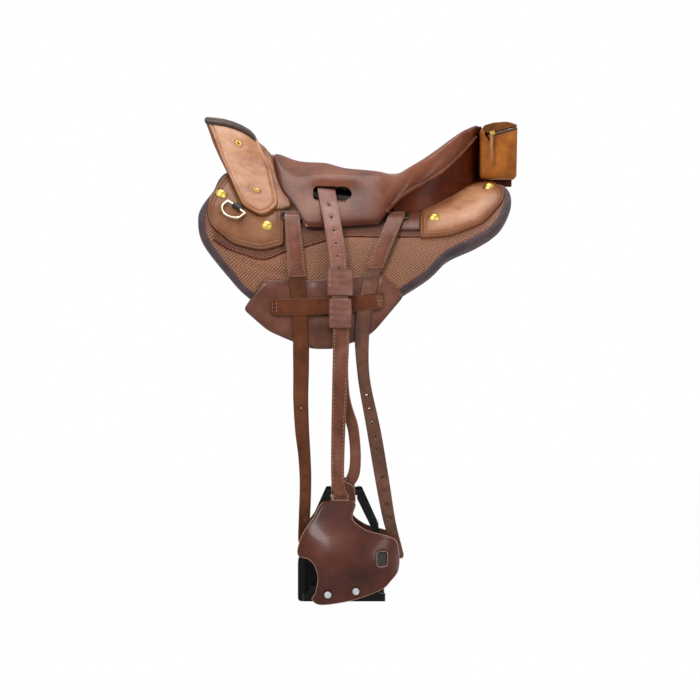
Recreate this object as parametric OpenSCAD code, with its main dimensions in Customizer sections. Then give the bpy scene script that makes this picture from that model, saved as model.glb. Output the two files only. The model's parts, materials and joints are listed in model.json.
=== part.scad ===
/* [Horse back] */
// Radius of the back in cross-section, on each side
back_r = 225; // [215:1:235]
// Distance from the middle plane to the centre of each side's arc
half_gap = 30; // [26:1:34]
// Radius of the dip of the back, seen from the side
dip_r = 780; // [740:5:820]

/* [Panels and skirts] */
// Thickness of the underside panel
panel_t = 10; // [8:0.5:12]
// Thickness of the mesh skirt
skirt_t = 12; // [10:0.5:14]
// Width of the bound edge of the skirt
binding_w = 14; // [10:1:18]
// Thickness of the padded lobe
lobe_t = 5; // [4:0.5:6]
// Thickness of the jockeys
jockey_t = 4.8; // [4:0.2:5.6]

/* [Straps] */
// Thickness of the rigging straps and billets
strap_t = 4; // [3:0.25:5]
// Thickness of the keeper strap
keeper_t = 3; // [2:0.25:4]
// Thickness of one ply of the stirrup leather
ply_t = 3.5; // [3:0.25:4]
// Thickness of the doubled upper stirrup leather
doubled_t = 7; // [6:0.25:8]
// Diameter of a billet hole
billet_hole_d = 5; // [4:0.25:6]
// Distance between billet holes
billet_hole_pitch = 24.5; // [22:0.5:26]
// Number of holes in a billet
billet_holes = 10; // [6:1:11]
// Inward lean of the hanging billets
billet_lean = 3; // [2:0.5:4]

/* [Seat and pommel] */
// Thickness of the padded seat at its middle
seat_t = 15; // [12:0.5:18]
// Thickness of the seat at its edge
seat_edge_t = 5; // [4:0.5:6]
// Radius of the pommel's top in cross-section
pommel_r = 52; // [46:1:58]
// Height of the centre of the pommel's top
pommel_z = 25; // [20:1:30]
// Thickness of the pommel cover
cover_t = 3.7; // [3:0.1:4.5]
// Thickness of the pommel patch
patch_t = 3.7; // [3:0.1:4.5]
// Thickness of the pommel rim
rim_t = 4.6; // [4:0.2:6]
// Radius of the cantle wall at the level of the origin
cantle_r = 168; // [162:1:174]
// Thickness of the cantle wall
cantle_t = 8; // [6:0.5:10]

/* [Hardware] */
// Diameter of a dome stud
stud_d = 22; // [18:1:26]
// Wire diameter of the D-rings
ring_wire_d = 4.2; // [3.4:0.2:5]
// Radius of the bow of the D-rings
ring_bow_r = 20; // [16:0.5:23]
// Diameter of the stirrup bars on the tree
tree_rod_d = 8; // [7:0.25:9]
// Diameter of the post of the leather's buckle
post_d = 6; // [5:0.25:7]

/* [Stirrup] */
// Height of the stirrup from its top bar to the underside of its tread
stirrup_h = 193; // [185:1:200]
// Width of the stirrup, outside
stirrup_w = 164; // [156:1:172]
// Depth of the tread
tread_depth = 56; // [50:1:60]
// Diameter of the stirrup's top bar
top_bar_d = 8; // [7:0.25:9]
// Thickness of the hood leather
hood_t = 3.5; // [3:0.25:4]
// How far the hood stands out in front of the top bar
hood_depth = 62; // [54:1:70]

/* [Bag] */
// Width of the cantle bag across the saddle
bag_w = 170; // [150:2:200]
// Travel of the zip slider
zip_travel = 40; // [34:1:41]

/* [Hidden] */
$fn = 64;

// Clearance between layers of leather that do not move on each other
lay_gap = 0.3;
// Clearance between straps that move on each other
move_gap = 0.5;
// Size that reaches past the whole saddle
reach = 420;
// Height of the lower edge of the straight flanks
flank_z = -280;
// Height of the centre of each side's arc
arc_z = -back_r;

// Radii of the layers from the horse outwards
r_panel = back_r + panel_t;
r_skirt_in = r_panel + 0.2;
r_skirt = r_panel + skirt_t;
r_lobe_in = r_skirt + lay_gap;
r_lobe = r_lobe_in + lobe_t;
r_jockey = r_lobe_in + jockey_t;
r_strap_in = max(r_lobe, r_jockey) + lay_gap;
r_strap = r_strap_in + strap_t;
r_keeper_in = r_strap + lay_gap;
r_keeper = r_keeper_in + keeper_t;
sleeve_t = 2;
r_sleeve_in = r_keeper + 3 * move_gap;
r_back_in = r_sleeve_in + sleeve_t + move_gap;
r_back = r_back_in + ply_t;
upper_rise = 2.2;
r_upper_in = r_back + move_gap + upper_rise;
r_upper = r_upper_in + doubled_t;
r_front_in = r_upper + move_gap;
r_front = r_front_in + ply_t;
plate_t = 2;
r_plate_in = r_front + lay_gap;
r_sleeve = r_plate_in + plate_t + lay_gap + sleeve_t;
// How much flatter than the back the upper leather lies
upper_drop = 12;

// Height above the dip's arc, and the place of a layer seen from the side
function dip_level(x, z) = dip_r - norm([x, dip_r - z]);
function dip_height(x, level) = dip_r - sqrt(pow(dip_r - level, 2) - x * x);
function side_y(x, z, r, drop = 0) =
  let (dz = dip_level(x, z) - arc_z, rr = r - drop)
  -(half_gap + drop + (dz > 0 ? sqrt(max(rr * rr - dz * dz, 0)) : rr));
function side_normal(x, z, r) =
  let (dz = max(dip_level(x, z) - arc_z, 0), h = norm([x, dip_r - z]), k = min(dz / r, 1))
  [-x / h * k, -sqrt(1 - k * k), (dip_r - z) / h * k];

// Curves
function unit(v) = v / norm(v);
function blend(a, b, c, d, t) =
  0.5 * (2 * b + (c - a) * t + (2 * a - 5 * b + 4 * c - d) * t * t + (3 * b - a - 3 * c + d) * t * t * t);
function closed_curve(p, n) = let (m = len(p)) [for (i = [0:m - 1], k = [0:n - 1])
  blend(p[(i + m - 1) % m], p[i], p[(i + 1) % m], p[(i + 2) % m], k / n)];
function open_point(p, t) =
  let (m = len(p) - 1, i = min(floor(t), m - 1))
  blend(p[max(i - 1, 0)], p[i], p[i + 1], p[min(i + 2, m)], t - i);
function corner(a, p, b, r, n = 6) =
  let (u = unit(a - p), v = unit(b - p), h = acos(u * v) / 2, c = p + unit(u + v) * r / sin(h))
  let (s = p + u * r / tan(h) - c, e = p + v * r / tan(h) - c, a0 = atan2(s[1], s[0]))
  let (turn = (atan2(e[1], e[0]) - a0 + 900) % 360 - 180)
  [for (i = [0:n]) c + r * [cos(a0 + turn * i / n), sin(a0 + turn * i / n)]];
function rounded(p) = let (m = len(p)) [for (i = [0:m - 1])
  each corner([p[(i + m - 1) % m][0], p[(i + m - 1) % m][1]], [p[i][0], p[i][1]],
    [p[(i + 1) % m][0], p[(i + 1) % m][1]], p[i][2])];
function inset(p, d) = let (m = len(p)) [for (i = [0:m - 1])
  let (t = unit(p[(i + 1) % m] - p[(i + m - 1) % m])) p[i] + d * [-t[1], t[0]]];
// Straps as stations of height, middle and width
function strap_outline(s) = concat(
  [for (q = s) [q[1] - q[2] / 2, q[0]]],
  [for (i = [len(s) - 1:-1:0]) [s[i][1] + s[i][2] / 2, s[i][0]]]);
function strap_x(s, z) = let (i = min([for (k = [0:len(s) - 2]) if (s[k + 1][0] <= z) k]))
  s[i][1] + (s[i + 1][1] - s[i][1]) * (s[i][0] - z) / (s[i][0] - s[i + 1][0]);

// Outlines seen from the side
skirt_curve = closed_curve([[-276, 66], [-300, 30], [-318, 5], [-325, -18], [-316, -60], [-271, -122],
  [-232, -164], [-140, -232], [-60, -230], [30, -165], [91, -122], [126, -87], [180, -60], [216, -33],
  [237, 12], [230, 38], [204, 46], [150, 54], [0, 50], [-200, 76]], 5);
skirt_inner = inset(skirt_curve, binding_w);
lobe_outline = rounded([[-208, -131, 18], [5, -117, 16], [46, -157, 12], [-17, -233, 80], [-83, -255, 60],
  [-122, -255, 60], [-196, -221, 80], [-232, -190, 12]]);
front_jockey_outline = rounded([[-248, 84, 4], [-311, 12, 50], [-306, -30, 40], [-262, -66, 40],
  [-210, -79, 60], [-171, -67, 4], [-171, -4, 10], [-187, 38, 30], [-201, 84, 4]]);
rear_jockey_outline = rounded([[73, -55, 5], [126, -51, 70], [186, -28, 60], [222, 12, 34], [226, 34, 12],
  [206, 47, 12], [120, 44, 5], [73, 20, 5]]);
patch_outline = rounded([[-316, 168, 2], [-298, 122, 60], [-246, 4, 30], [-209, -17, 22], [-180, 4, 18],
  [-196, 78, 120], [-226, 132, 3], [-244, 168, 2]]);
cover_outline = rounded([[-318, 170, 2], [-301, 120, 60], [-244, 6, 14], [-222, -3, 10], [-176, -3, 3],
  [-164, 3, 3], [-186, 37, 30], [-195, 74, 30], [-194, 95, 3], [-227, 135, 3], [-246, 170, 2]]);
arch_outline = rounded([[-296, 150, 3], [-262, 50, 20], [-214, 30, 20], [-208, 84, 20], [-238, 138, 3],
  [-246, 164, 3]]);
slot_z = [9, 46];
slot_x = [-122, -47];

// Straps: height, middle and width at each station
front_rigging_s = [[-20, -167, 28], [-124, -145.5, 29]];
rear_rigging_s = [[-11, 32.5, 27], [-110, -8.5, 27]];
billet_top_z = -257;
front_billet_s = [[-124, -145.5, 26], [-239, -141, 27], [billet_top_z, -141, 27], [-346, -141.5, 25],
  [-403, -139, 23], [-448, -135, 20], [-498, -133, 19], [-563, -135, 19], [-598, -136.5, 18], [-605, -137, 10]];
rear_billet_s = [[-110, -8.5, 25], [-187, -27.5, 27], [-221, -31, 27], [billet_top_z, -31, 24], [-294, -29, 21],
  [-330, -24, 22], [-403, -9.5, 25], [-489, 5, 25], [-563, 18, 22], [-620, 34, 18], [-630, 37, 10]];
upper_leather_s = [[52, -101, 33], [20, -95.5, 33], [-112, -73.5, 28], [-187, -70, 28]];
front_ply_s = [[-190, -70, 28], [-239, -68.5, 29], [-403, -73.5, 25], [-489, -74.5, 23], [-512, -69, 22]];
back_ply_s = [[-190, -69, 26], [-330, -66, 24], [-403, -46, 20], [-478, -45, 20], [-512, -69, 22]];
fixed_billet_i = 3;

// Stirrup leather hinge points
lift_z = 18;
lift_x = -95;
lift_y = side_y(lift_x, lift_z, r_upper_in + doubled_t / 2, upper_drop);
post_x = -70;
post_z = -175;
sleeve_half_w = 20;
loop_clear = 0.3;
loop_r = tree_rod_d / 2 + loop_clear + ply_t;
rod_x = [-122, -40];
rod_y = -80;
rod_level = arc_z + sqrt(pow(r_upper_in + loop_r - upper_drop, 2) - pow(-rod_y - half_gap - upper_drop, 2));
rod_z = dip_height(lift_x, rod_level);

// Stirrup
bar_z = -512;
bar_x = -63.5;
eye_half_w = 23.5;
r_bar = r_back + loop_clear + top_bar_d / 2;
bar_y = -(half_gap + r_bar);
r_tongue_in = r_bar + top_bar_d / 2 + loop_clear;
r_tongue = r_tongue_in + hood_t;
r_low_front_in = r_tongue + loop_clear;
loop_mid_r = (r_low_front_in + r_back) / 2;
bend_in_r = (r_low_front_in - r_back) / 2;
bend_out_r = bend_in_r + ply_t;
tread_z = bar_z - stirrup_h;
tread_t = 14;
branch_t = 12;
branch_half_depth = 11;
lip_h = 28;
hood_top_z = bar_z - 17;

// Cantle wall
cantle_x = 20;
cantle_slope = 22 / 140;
function cantle_at(z) = cantle_r - cantle_slope * z;

// Solids made from a section across the saddle, swept along the dip of the back
module swept(span = 64)
  translate([0, 0, dip_r]) rotate([-90, 90, 0]) rotate([0, 0, -span / 2])
    rotate_extrude(angle = span, $fn = 200) translate([dip_r, 0]) rotate(90) children();
module flank(r, drop = 0) {
  translate([-half_gap - drop, arc_z]) circle(r - drop);
  translate([-half_gap - r, flank_z]) square([r, arc_z - flank_z]);
}
module layer(r0, r1, drop = 0) swept() intersection() {
  difference() {
    flank(r1, drop);
    flank(r0, drop);
  }
  translate([-reach, flank_z]) square([reach - half_gap, reach]);
}
// An outline seen from the side, as a prism through the near side or through both
module cut(p, both = false)
  translate([0, both ? reach : 0, 0]) rotate([90, 0, 0]) linear_extrude(both ? 2 * reach : reach) polygon(p);
module sheet(p, r0, r1, drop = 0) intersection() {
  layer(r0, r1, drop);
  cut(p);
}
module right_side() mirror([0, 1, 0]) children();
module both_sides() {
  children();
  right_side() children();
}
// Puts a piece on a layer: X along the saddle, -Y outwards, Z up the flank
module placed(x, z, r) {
  n = side_normal(x, z, r);
  translate([x, side_y(x, z, r), z]) rotate([0, 0, atan2(n[0], -n[1])]) rotate([-asin(n[2]), 0, 0]) children();
}
module box(x, y, z) translate([x[0], y[0], z[0]]) cube([x[1] - x[0], y[1] - y[0], z[1] - z[0]]);
module rod_along_x(x, y, z, d) translate([x[0], y, z]) rotate([0, 90, 0]) cylinder(d = d, h = x[1] - x[0]);

// Tree
bar_t = 9;
module bar_plan(e, inner) translate([0, 0, -reach]) linear_extrude(2 * reach)
  polygon(rounded([[-168, -54, 10], [-150, -106 - e, 30], [110, -114 - e, 40], [150 + e, -70, 20],
    [140 + e, -inner, 10], [-150, -inner, 10]]));
bar_inner = 40;
module tree_bar() intersection() {
  layer(r_lobe_in, r_lobe_in + bar_t);
  bar_plan(0, bar_inner);
}
module tree_bars() color("#c8b48a") both_sides() tree_bar();
module ground_seat() color("#6a5a48") intersection() {
  swept() translate([-66, arc_z + r_lobe_in + bar_t + lay_gap]) square([132, 2]);
  translate([0, 0, -reach]) linear_extrude(2 * reach)
    polygon(rounded([[-120, -40, 20], [100, -66, 30], [130, 0, 60], [100, 66, 30], [-120, 40, 20]]));
}
// The pommel's section: its round top and the back, joined by the lines that touch both
pommel_top = [0, pommel_z];
pommel_foot = [-half_gap, arc_z];
pommel_run = pommel_foot - pommel_top;
pommel_turn = 360 + atan2(pommel_run[1], pommel_run[0]) - acos((pommel_r - r_jockey) / norm(pommel_run));
top_steps = 6;
foot_steps = 14;
foot_turn = 190;
function around(c, r, a) = c + r * [cos(a), sin(a)];
function pommel_side(e) = concat(
  [for (k = [0:top_steps]) around(pommel_top, pommel_r + e, 90 + (pommel_turn - 90) * k / top_steps)],
  [for (k = [0:foot_steps])
    around(pommel_foot, r_jockey + e, pommel_turn + (foot_turn - pommel_turn) * k / foot_steps)]);
module pommel_form(e) {
  h = pommel_side(e);
  n = len(h);
  polygon(concat(h, [for (k = [n - 1:-1:1]) [-h[k][0], h[k][1]]]));
}
module pommel_band(e0, e1, p) intersection() {
  swept() difference() {
    pommel_form(e1);
    pommel_form(e0);
  }
  cut(p, true);
}
arch_t = 14;
module pommel_arch() color("#7d8288") difference() {
  pommel_band(-lay_gap - arch_t, -lay_gap, arch_outline);
  swept() {
    flank(r_jockey + lay_gap);
    mirror([1, 0]) flank(r_jockey + lay_gap);
  }
}
module cantle_ring(r_out, t, z) translate([cantle_x, 0, 0]) rotate_extrude($fn = 128)
  polygon([[r_out - cantle_slope * z[0] - t, z[0]], [r_out - cantle_slope * z[0], z[0]],
    [r_out - cantle_slope * z[1], z[1]], [r_out - cantle_slope * z[1] - t, z[1]]]);
module off_back(r) difference() {
  children();
  swept() {
    flank(r);
    mirror([1, 0]) flank(r);
    translate([-half_gap, flank_z]) square([2 * half_gap, arc_z + r - flank_z]);
  }
}
module cantle_arch() color("#7d8288") off_back(r_lobe_in + bar_t + lay_gap) intersection() {
  cantle_ring(cantle_r - cantle_t - 6, 12, [-30, 56]);
  cut([[70, -40], [200, -40], [200, 56], [104, 56], [70, 30]], true);
}
rod_leg = 16;
module stirrup_rods() color("#9aa0a6") both_sides() {
  rod_along_x(rod_x, rod_y, rod_z, tree_rod_d);
  difference() {
    for (x = rod_x) translate([x, rod_y, rod_z]) {
      sphere(d = tree_rod_d);
      translate([0, 0, -rod_leg]) cylinder(d = tree_rod_d, h = rod_leg);
    }
    layer(r_lobe_in, r_lobe_in + bar_t + lay_gap);
  }
}

// Seat: sections from side to side, at stations along the saddle
// Each station: x, top, half width of the rim, height of the edge, dish of the middle
seat_s = [[-190, 96, 24, 84, 2], [-186, 95, 28, 60, 2], [-178, 93, 33, 32, 2], [-160, 87, 44, 3, 3],
  [-138, 82, 54, -27, 3], [-126, 81, 58, -41, 3], [-94, 80, 66, -40, 4], [-60, 70, 72, -37, 5],
  [-20, 68, 84, -32, 6], [3, 66, 94, -27, 8], [21, 63, 104, 3, 8], [37, 64, 112, 23, 10], [57, 76, 120, 35, 18],
  [82, 91, 122, 40, 24], [105, 106, 114, 58, 28], [125, 120, 104, 75, 30], [147, 134, 84, 98, 26],
  [162, 140, 60, 114, 18], [171, 143, 40, 124, 10], [177, 145, 22, 130, 5], [180, 146, 12, 134, 2]];
seat_overhang = 14;
seat_edge_r = r_lobe_in + lay_gap + seat_edge_t + 2;
function seat_edge_y(x, z) = x < 10
  ? -side_y(x, z, seat_edge_r)
  : sqrt(max(pow(cantle_at(z) + seat_overhang, 2) - pow(x - cantle_x, 2), 64));
function seat_frame(s) = let (ye = max(seat_edge_y(s[0], s[3]), s[2] + 6), back = s[0] < 10 ? 0 : 1)
  [[0, s[1] - s[4]], [s[2] * 0.55, s[1] - s[4] * 0.55], [s[2], s[1] - 3],
   [(s[2] + ye) / 2 + 4 * back, (s[1] + s[3]) / 2 + 6], [ye, s[3]]];
seat_steps = 12;
function seat_half(s) = let (f = seat_frame(s)) [for (k = [0:seat_steps]) open_point(f, k * 4 / seat_steps)];
// The padding thins towards the edge and at the two ends
function seat_inside(h, s) =
  let (t = min(seat_t, 0.45 * (s[1] - s[4] - s[3] + seat_edge_t)), te = min(seat_edge_t, t) * 1.4)
  [for (k = [0:seat_steps]) let (w = k / seat_steps) h[k] - [w * te, (1 - w) * t + w]];
function seat_loop(s) = let (h = seat_half(s), g = seat_inside(h, s)) concat(
  [for (k = [seat_steps:-1:1]) [s[0], -h[k][0], h[k][1]]], [for (k = [0:seat_steps]) [s[0], h[k][0], h[k][1]]],
  [for (k = [seat_steps:-1:1]) [s[0], g[k][0], g[k][1]]], [for (k = [0:seat_steps]) [s[0], -g[k][0], g[k][1]]]);
module skin(loops) {
  n = len(loops[0]);
  m = len(loops);
  polyhedron([for (l = loops) each l], concat(
    [for (i = [0:m - 2], k = [0:n - 1]) each
      [[i * n + k, (i + 1) * n + k, (i + 1) * n + (k + 1) % n],
        [i * n + k, (i + 1) * n + (k + 1) % n, i * n + (k + 1) % n]]],
    [for (k = [0:n / 2 - 2]) each [[k, k + 1, n - 1 - k], [k + 1, n - 2 - k, n - 1 - k]]],
    [for (k = [0:n / 2 - 2]) let (b = (m - 1) * n) each
      [[b + k, b + n - 1 - k, b + k + 1], [b + k + 1, b + n - 1 - k, b + n - 2 - k]]]));
}
module seat() color("#5a2b1e") difference() {
  skin([for (s = seat_s) seat_loop(s)]);
  cut(rounded([[slot_x[0], slot_z[0], 10], [slot_x[1], slot_z[0] + 2, 10], [slot_x[1], slot_z[1] - 2, 10],
    [slot_x[0], slot_z[1], 10]]), true);
}
// The cantle wall reaches up into the seat's rim
tuck = 2;
module cantle_cover() color("#3c1a12") off_back(r_jockey + lay_gap) intersection() {
  cantle_ring(cantle_r, cantle_t, [-40, 130]);
  cut([[56, -40], [240, -40], [240, 104], [154, 104], [147, 98 + tuck], [125, 75 + tuck], [105, 58 + tuck],
    [82, 40 + tuck], [57, 34 + tuck], [37, 22 + tuck], [24, 8 + tuck], [24, 4], [56, 4]], true);
}

// Pommel
cover_e = lay_gap + cover_t;
patch_e = cover_e + lay_gap + patch_t;
rim_e = patch_e + lay_gap + rim_t;
rim_half_w = 30;
module pommel_cover() color("#a8693a") pommel_band(lay_gap, cover_e, cover_outline);
eyelet_d = 9;
// Eyelets: place along the saddle and level above the back's line
eyelet_at = [[-254, 70], [-221, -0.9]];
module eyelet_holes(d) for (p = eyelet_at)
  translate([p[0], reach, dip_height(p[0], p[1])]) rotate([90, 0, 0]) cylinder(d = d, h = 2 * reach);
module pommel_patch() color("#b0764a") difference() {
  pommel_band(cover_e + lay_gap, patch_e, patch_outline);
  eyelet_holes(eyelet_d + 2 * lay_gap);
}
// The rim's crown: place along the saddle and rise of its ridge above the pommel's own line
rim_rise = [[-316, 0], [-308, 3], [-296, 8], [-280, 13], [-264, 15.5], [-248, 15.5], [-234, 12], [-225, 7]];
rim_s = [for (p = rim_rise) [p[0], dip_height(p[0], pommel_z + pommel_r + rim_e) + p[1]]];
rim_steps = 10;
function rim_foot(x, y) = dip_height(x, pommel_z + sqrt(pow(pommel_r + patch_e + lay_gap, 2) - y * y));
function rim_top(s, y) = let (r = pommel_r + rim_e, foot = rim_foot(s[0], y))
  max(s[1] - r + sqrt(r * r - y * y), foot + rim_t);
function rim_y(k) = rim_half_w * (2 * k / rim_steps - 1);
function rim_loop(s) = concat([for (k = [0:rim_steps]) [s[0], rim_y(k), rim_top(s, rim_y(k))]],
  [for (k = [rim_steps:-1:0]) [s[0], rim_y(k), rim_foot(s[0], rim_y(k))]]);
module pommel_rim() color("#2c221e")
  skin([for (k = [0:2 * len(rim_s) - 2]) rim_loop(open_point(rim_s, k / 2))]);
module pommel_eyelets() color("#b8923c") intersection() {
  swept() difference() {
    pommel_form(patch_e + 0.8);
    pommel_form(cover_e + lay_gap);
  }
  difference() {
    eyelet_holes(eyelet_d);
    eyelet_holes(eyelet_d / 2);
  }
}

// Panels, skirts, lobes and jockeys
module panel_half() sheet(skirt_inner, back_r, r_panel);
module panel_left() color("#4a4038") panel_half();
module panel_right() color("#4a4038") right_side() panel_half();
module skirt_half() sheet(skirt_inner, r_skirt_in, r_skirt);
module skirt_left() color("#7a4a30") skirt_half();
module skirt_right() color("#7a4a30") right_side() skirt_half();
module binding_half() difference() {
  sheet(skirt_curve, back_r, r_skirt);
  cut(inset(skirt_curve, binding_w - lay_gap));
}
module binding_left() color("#3e2a2c") binding_half();
module binding_right() color("#3e2a2c") right_side() binding_half();
module lobe_half() sheet(lobe_outline, r_lobe_in, r_lobe);
module lobe_left() color("#4e2c22") lobe_half();
module lobe_right() color("#4e2c22") right_side() lobe_half();
module front_jockey() sheet(front_jockey_outline, r_lobe_in, r_jockey);
module front_jockey_left() color("#a8693a") front_jockey();
module front_jockey_right() color("#a8693a") right_side() front_jockey();
module rear_jockey() difference() {
  sheet(rear_jockey_outline, r_lobe_in, r_jockey);
  bar_plan(lay_gap, 0);
}
module rear_jockey_left() color("#a8693a") rear_jockey();
module rear_jockey_right() color("#a8693a") right_side() rear_jockey();
stud_at = [[-283, 24], [-201, -33], [98, -18], [197, 38]];
stud_h = 6;
stud_dome_r = stud_d * stud_d / 8 / stud_h + stud_h / 2;
stud_gap = 0.1;
module dome_stud() rotate([90, 0, 0]) intersection() {
  cylinder(d = stud_d, h = stud_h);
  translate([0, 0, stud_h - stud_dome_r]) sphere(r = stud_dome_r, $fn = 96);
}
module dome_studs() color("#c9a53a") both_sides()
  for (p = stud_at) placed(p[0], p[1], r_jockey + stud_gap) dome_stud();

// D-rings on their tabs
ring_x = -256;
ring_z = 0;
ring_turn = 50;
ring_leg = 11;
tab_t = 2;
tab_w = 16;
tab_ring_r = ring_wire_d / 2 + loop_clear + tab_t;
r_ring = r_jockey + lay_gap + tab_ring_r;
module at_ring() placed(ring_x, ring_z, r_ring) rotate([0, ring_turn, 0]) children();
module d_ring() at_ring() {
  translate([-ring_bow_r, 0, 0]) rotate([0, 90, 0]) cylinder(d = ring_wire_d, h = 2 * ring_bow_r);
  for (s = [-1, 1]) {
    translate([s * ring_bow_r, 0, 0]) sphere(d = ring_wire_d);
    translate([s * ring_bow_r, 0, -ring_leg]) cylinder(d = ring_wire_d, h = ring_leg);
  }
  translate([0, 0, -ring_leg]) rotate([90, 180, 0]) rotate_extrude(angle = 180)
    translate([ring_bow_r, 0]) circle(d = ring_wire_d);
}
module d_ring_left() color("#cfcabb") d_ring();
module d_ring_right() color("#cfcabb") right_side() d_ring();
tab_len = 5;
module ring_tab() at_ring() difference() {
  union() {
    translate([-tab_w / 2, 0, 0]) rotate([0, 90, 0]) cylinder(r = tab_ring_r, h = tab_w);
    translate([-tab_w / 2, tab_ring_r - tab_t, 0]) cube([tab_w, tab_t, tab_len]);
  }
  translate([-tab_w, 0, 0]) rotate([0, 90, 0]) cylinder(r = tab_ring_r - tab_t, h = 2 * tab_w);
}
module ring_tabs() color("#1c1a19") both_sides() ring_tab();

// Rigging: dees, straps and billets
dee_h = 12;
dee_bar = 3;
dee_play = 3;
function frame_points(x, w, z0, z1) = [[x - w, z1], [x + w, z1], [x + w, z0], [x - w, z0]];
module dee(s, play) difference() {
  sheet(frame_points(s[0][1], s[0][2] / 2 + play + dee_bar, s[0][0] - dee_h / 2, s[0][0] + dee_h / 2),
    r_strap_in, r_strap);
  cut(frame_points(s[0][1], s[0][2] / 2 + play, s[0][0] - dee_h, s[0][0] + dee_h / 2 - dee_bar));
}
module rigging_dees() color("#1c1a19") both_sides() {
  dee(front_rigging_s, dee_play / 2);
  dee(rear_rigging_s, dee_play);
}
function first(s, n) = [for (i = [0:n - 1]) s[i]];
function rest(s, n) = [for (i = [n:len(s) - 1]) s[i]];
hinge_clear = 0.4;
module rigging(r_s, b_s) difference() {
  union() {
    sheet(strap_outline(r_s), r_strap_in, r_strap);
    sheet(strap_outline(first(b_s, fixed_billet_i + (b_s[2][0] == billet_top_z ? 0 : 1))), r_strap_in, r_strap);
  }
  rod_along_x([-reach, reach], -half_gap - (r_strap_in + r_strap) / 2, billet_top_z, strap_t + 2 * hinge_clear);
}
module front_rigging_left() color("#5e3426") rigging(front_rigging_s, front_billet_s);
module front_rigging_right() color("#5e3426") right_side() rigging(front_rigging_s, front_billet_s);
module rear_rigging_left() color("#5e3426") rigging(rear_rigging_s, rear_billet_s);
module rear_rigging_right() color("#5e3426") right_side() rigging(rear_rigging_s, rear_billet_s);
module billet(b_s, hole_z) {
  n = b_s[2][0] == billet_top_z ? 2 : 3;
  s = rest(b_s, n);
  translate([0, -half_gap - (r_strap_in + r_strap) / 2, billet_top_z])
    rotate([billet_lean, 0, 0]) translate([0, 0, -billet_top_z]) difference() {
      union() {
        translate([0, strap_t / 2, 0]) rotate([90, 0, 0]) linear_extrude(strap_t) polygon(strap_outline(s));
        rod_along_x([s[0][1] - s[0][2] / 2, s[0][1] + s[0][2] / 2], 0, billet_top_z, strap_t);
      }
      for (i = [0:billet_holes - 1]) let (z = hole_z - i * billet_hole_pitch)
        translate([strap_x(s, z), strap_t, z]) rotate([90, 0, 0]) cylinder(d = billet_hole_d, h = 2 * strap_t);
    }
}
front_hole_z = -362;
rear_hole_z = -338;
module front_billet_left() color("#7a4426") billet(front_billet_s, front_hole_z);
module front_billet_right() color("#7a4426") right_side() billet(front_billet_s, front_hole_z);
module rear_billet_left() color("#4a2a1c") billet(rear_billet_s, rear_hole_z);
module rear_billet_right() color("#4a2a1c") right_side() billet(rear_billet_s, rear_hole_z);
keeper_outline = [[-196, -165], [8, -151], [10, -180], [-196, -194]];
keeper_end = 12;
module keeper() {
  sheet(keeper_outline, r_keeper_in, r_keeper);
  for (x = [-196, 9 - keeper_end]) intersection() {
    sheet(keeper_outline, r_lobe + lay_gap, r_keeper);
    box([x, x + keeper_end], [-reach, 0], [-reach, 0]);
  }
}
module keeper_straps() color("#5e3020") both_sides() keeper();

// Stirrup leathers
module leather_loop() difference() {
  union() {
    rod_along_x([-117, -84], rod_y, rod_z, 2 * loop_r);
    intersection() {
      sheet(strap_outline(upper_leather_s), r_upper_in, r_upper, upper_drop);
      box([-reach, 0], [-reach, rod_y], [0, rod_z]);
    }
  }
  rod_along_x([-reach, reach], rod_y, rod_z, tree_rod_d + 2 * loop_clear);
  rod_along_x([-reach, reach], lift_y, lift_z, doubled_t + 2 * hinge_clear);
  box([-reach, 0], [-reach, lift_y], [0, reach]);
}
module leather_loops() color("#5e3426") both_sides() leather_loop();
leather_holes = 6;
leather_hole_pitch = 23.4;
module upper_leather() difference() {
  union() {
    rod_along_x([lift_x - 16, lift_x + 16], lift_y, lift_z, doubled_t);
    intersection() {
      sheet(strap_outline(upper_leather_s), r_upper_in, r_upper, upper_drop);
      box([-reach, 0], [-reach, lift_y], [-reach, lift_z]);
    }
    upper_sleeve();
  }
  post(post_d + 0.2);
  for (i = [0:leather_holes - 1]) let (z = 6 - i * leather_hole_pitch)
    translate([strap_x(upper_leather_s, z), 0, z]) rotate([90, 0, 0]) cylinder(d = billet_hole_d, h = reach);
}
upper_sleeve_half_w = 23;
upper_sleeve_z = [-159, -112];
module upper_sleeve() difference() {
  sheet([[post_x - upper_sleeve_half_w, upper_sleeve_z[0]], [post_x + upper_sleeve_half_w, upper_sleeve_z[0]],
    [post_x + upper_sleeve_half_w, upper_sleeve_z[1]], [post_x - upper_sleeve_half_w, upper_sleeve_z[1]]],
    r_upper_in - sleeve_t, r_upper + sleeve_t, upper_drop);
  sheet([[post_x - upper_sleeve_half_w + sleeve_t, -reach], [post_x + upper_sleeve_half_w - sleeve_t, -reach],
    [post_x + upper_sleeve_half_w - sleeve_t, 0], [post_x - upper_sleeve_half_w + sleeve_t, 0]],
    r_upper, r_upper + 0.1, upper_drop);
}
module upper_leather_left() color("#6e4034") upper_leather();
module upper_leather_right() color("#6e4034") right_side() upper_leather();
post_tilt = asin(side_normal(post_x, post_z, r_upper)[2]);
module post(d) translate([post_x, side_y(post_x, post_z, r_back_in, 0), post_z]) rotate([-post_tilt, 0, 0])
  rotate([90, 0, 0]) cylinder(d = d, h = r_plate_in + plate_t / 2 - r_back_in);
ply_end_r = 13;
module ply_top(r0, r1) sheet(concat(
  [for (a = [0:15:180]) [post_x + ply_end_r * cos(a), post_z + ply_end_r * sin(a)]],
  [[post_x - ply_end_r, -190], [post_x + ply_end_r, -190]]), r0, r1);
module hanging(s, y0, y1, slant) intersection() {
  cut(strap_outline(s));
  translate([-reach, 0, 0]) rotate([90, 0, 90]) linear_extrude(reach)
    polygon([[-y0, -190], [-y1, -190], [-y1, arc_z], [-y1 - slant, bar_z], [-y0 - slant, bar_z], [-y0, arc_z]]);
}
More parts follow.
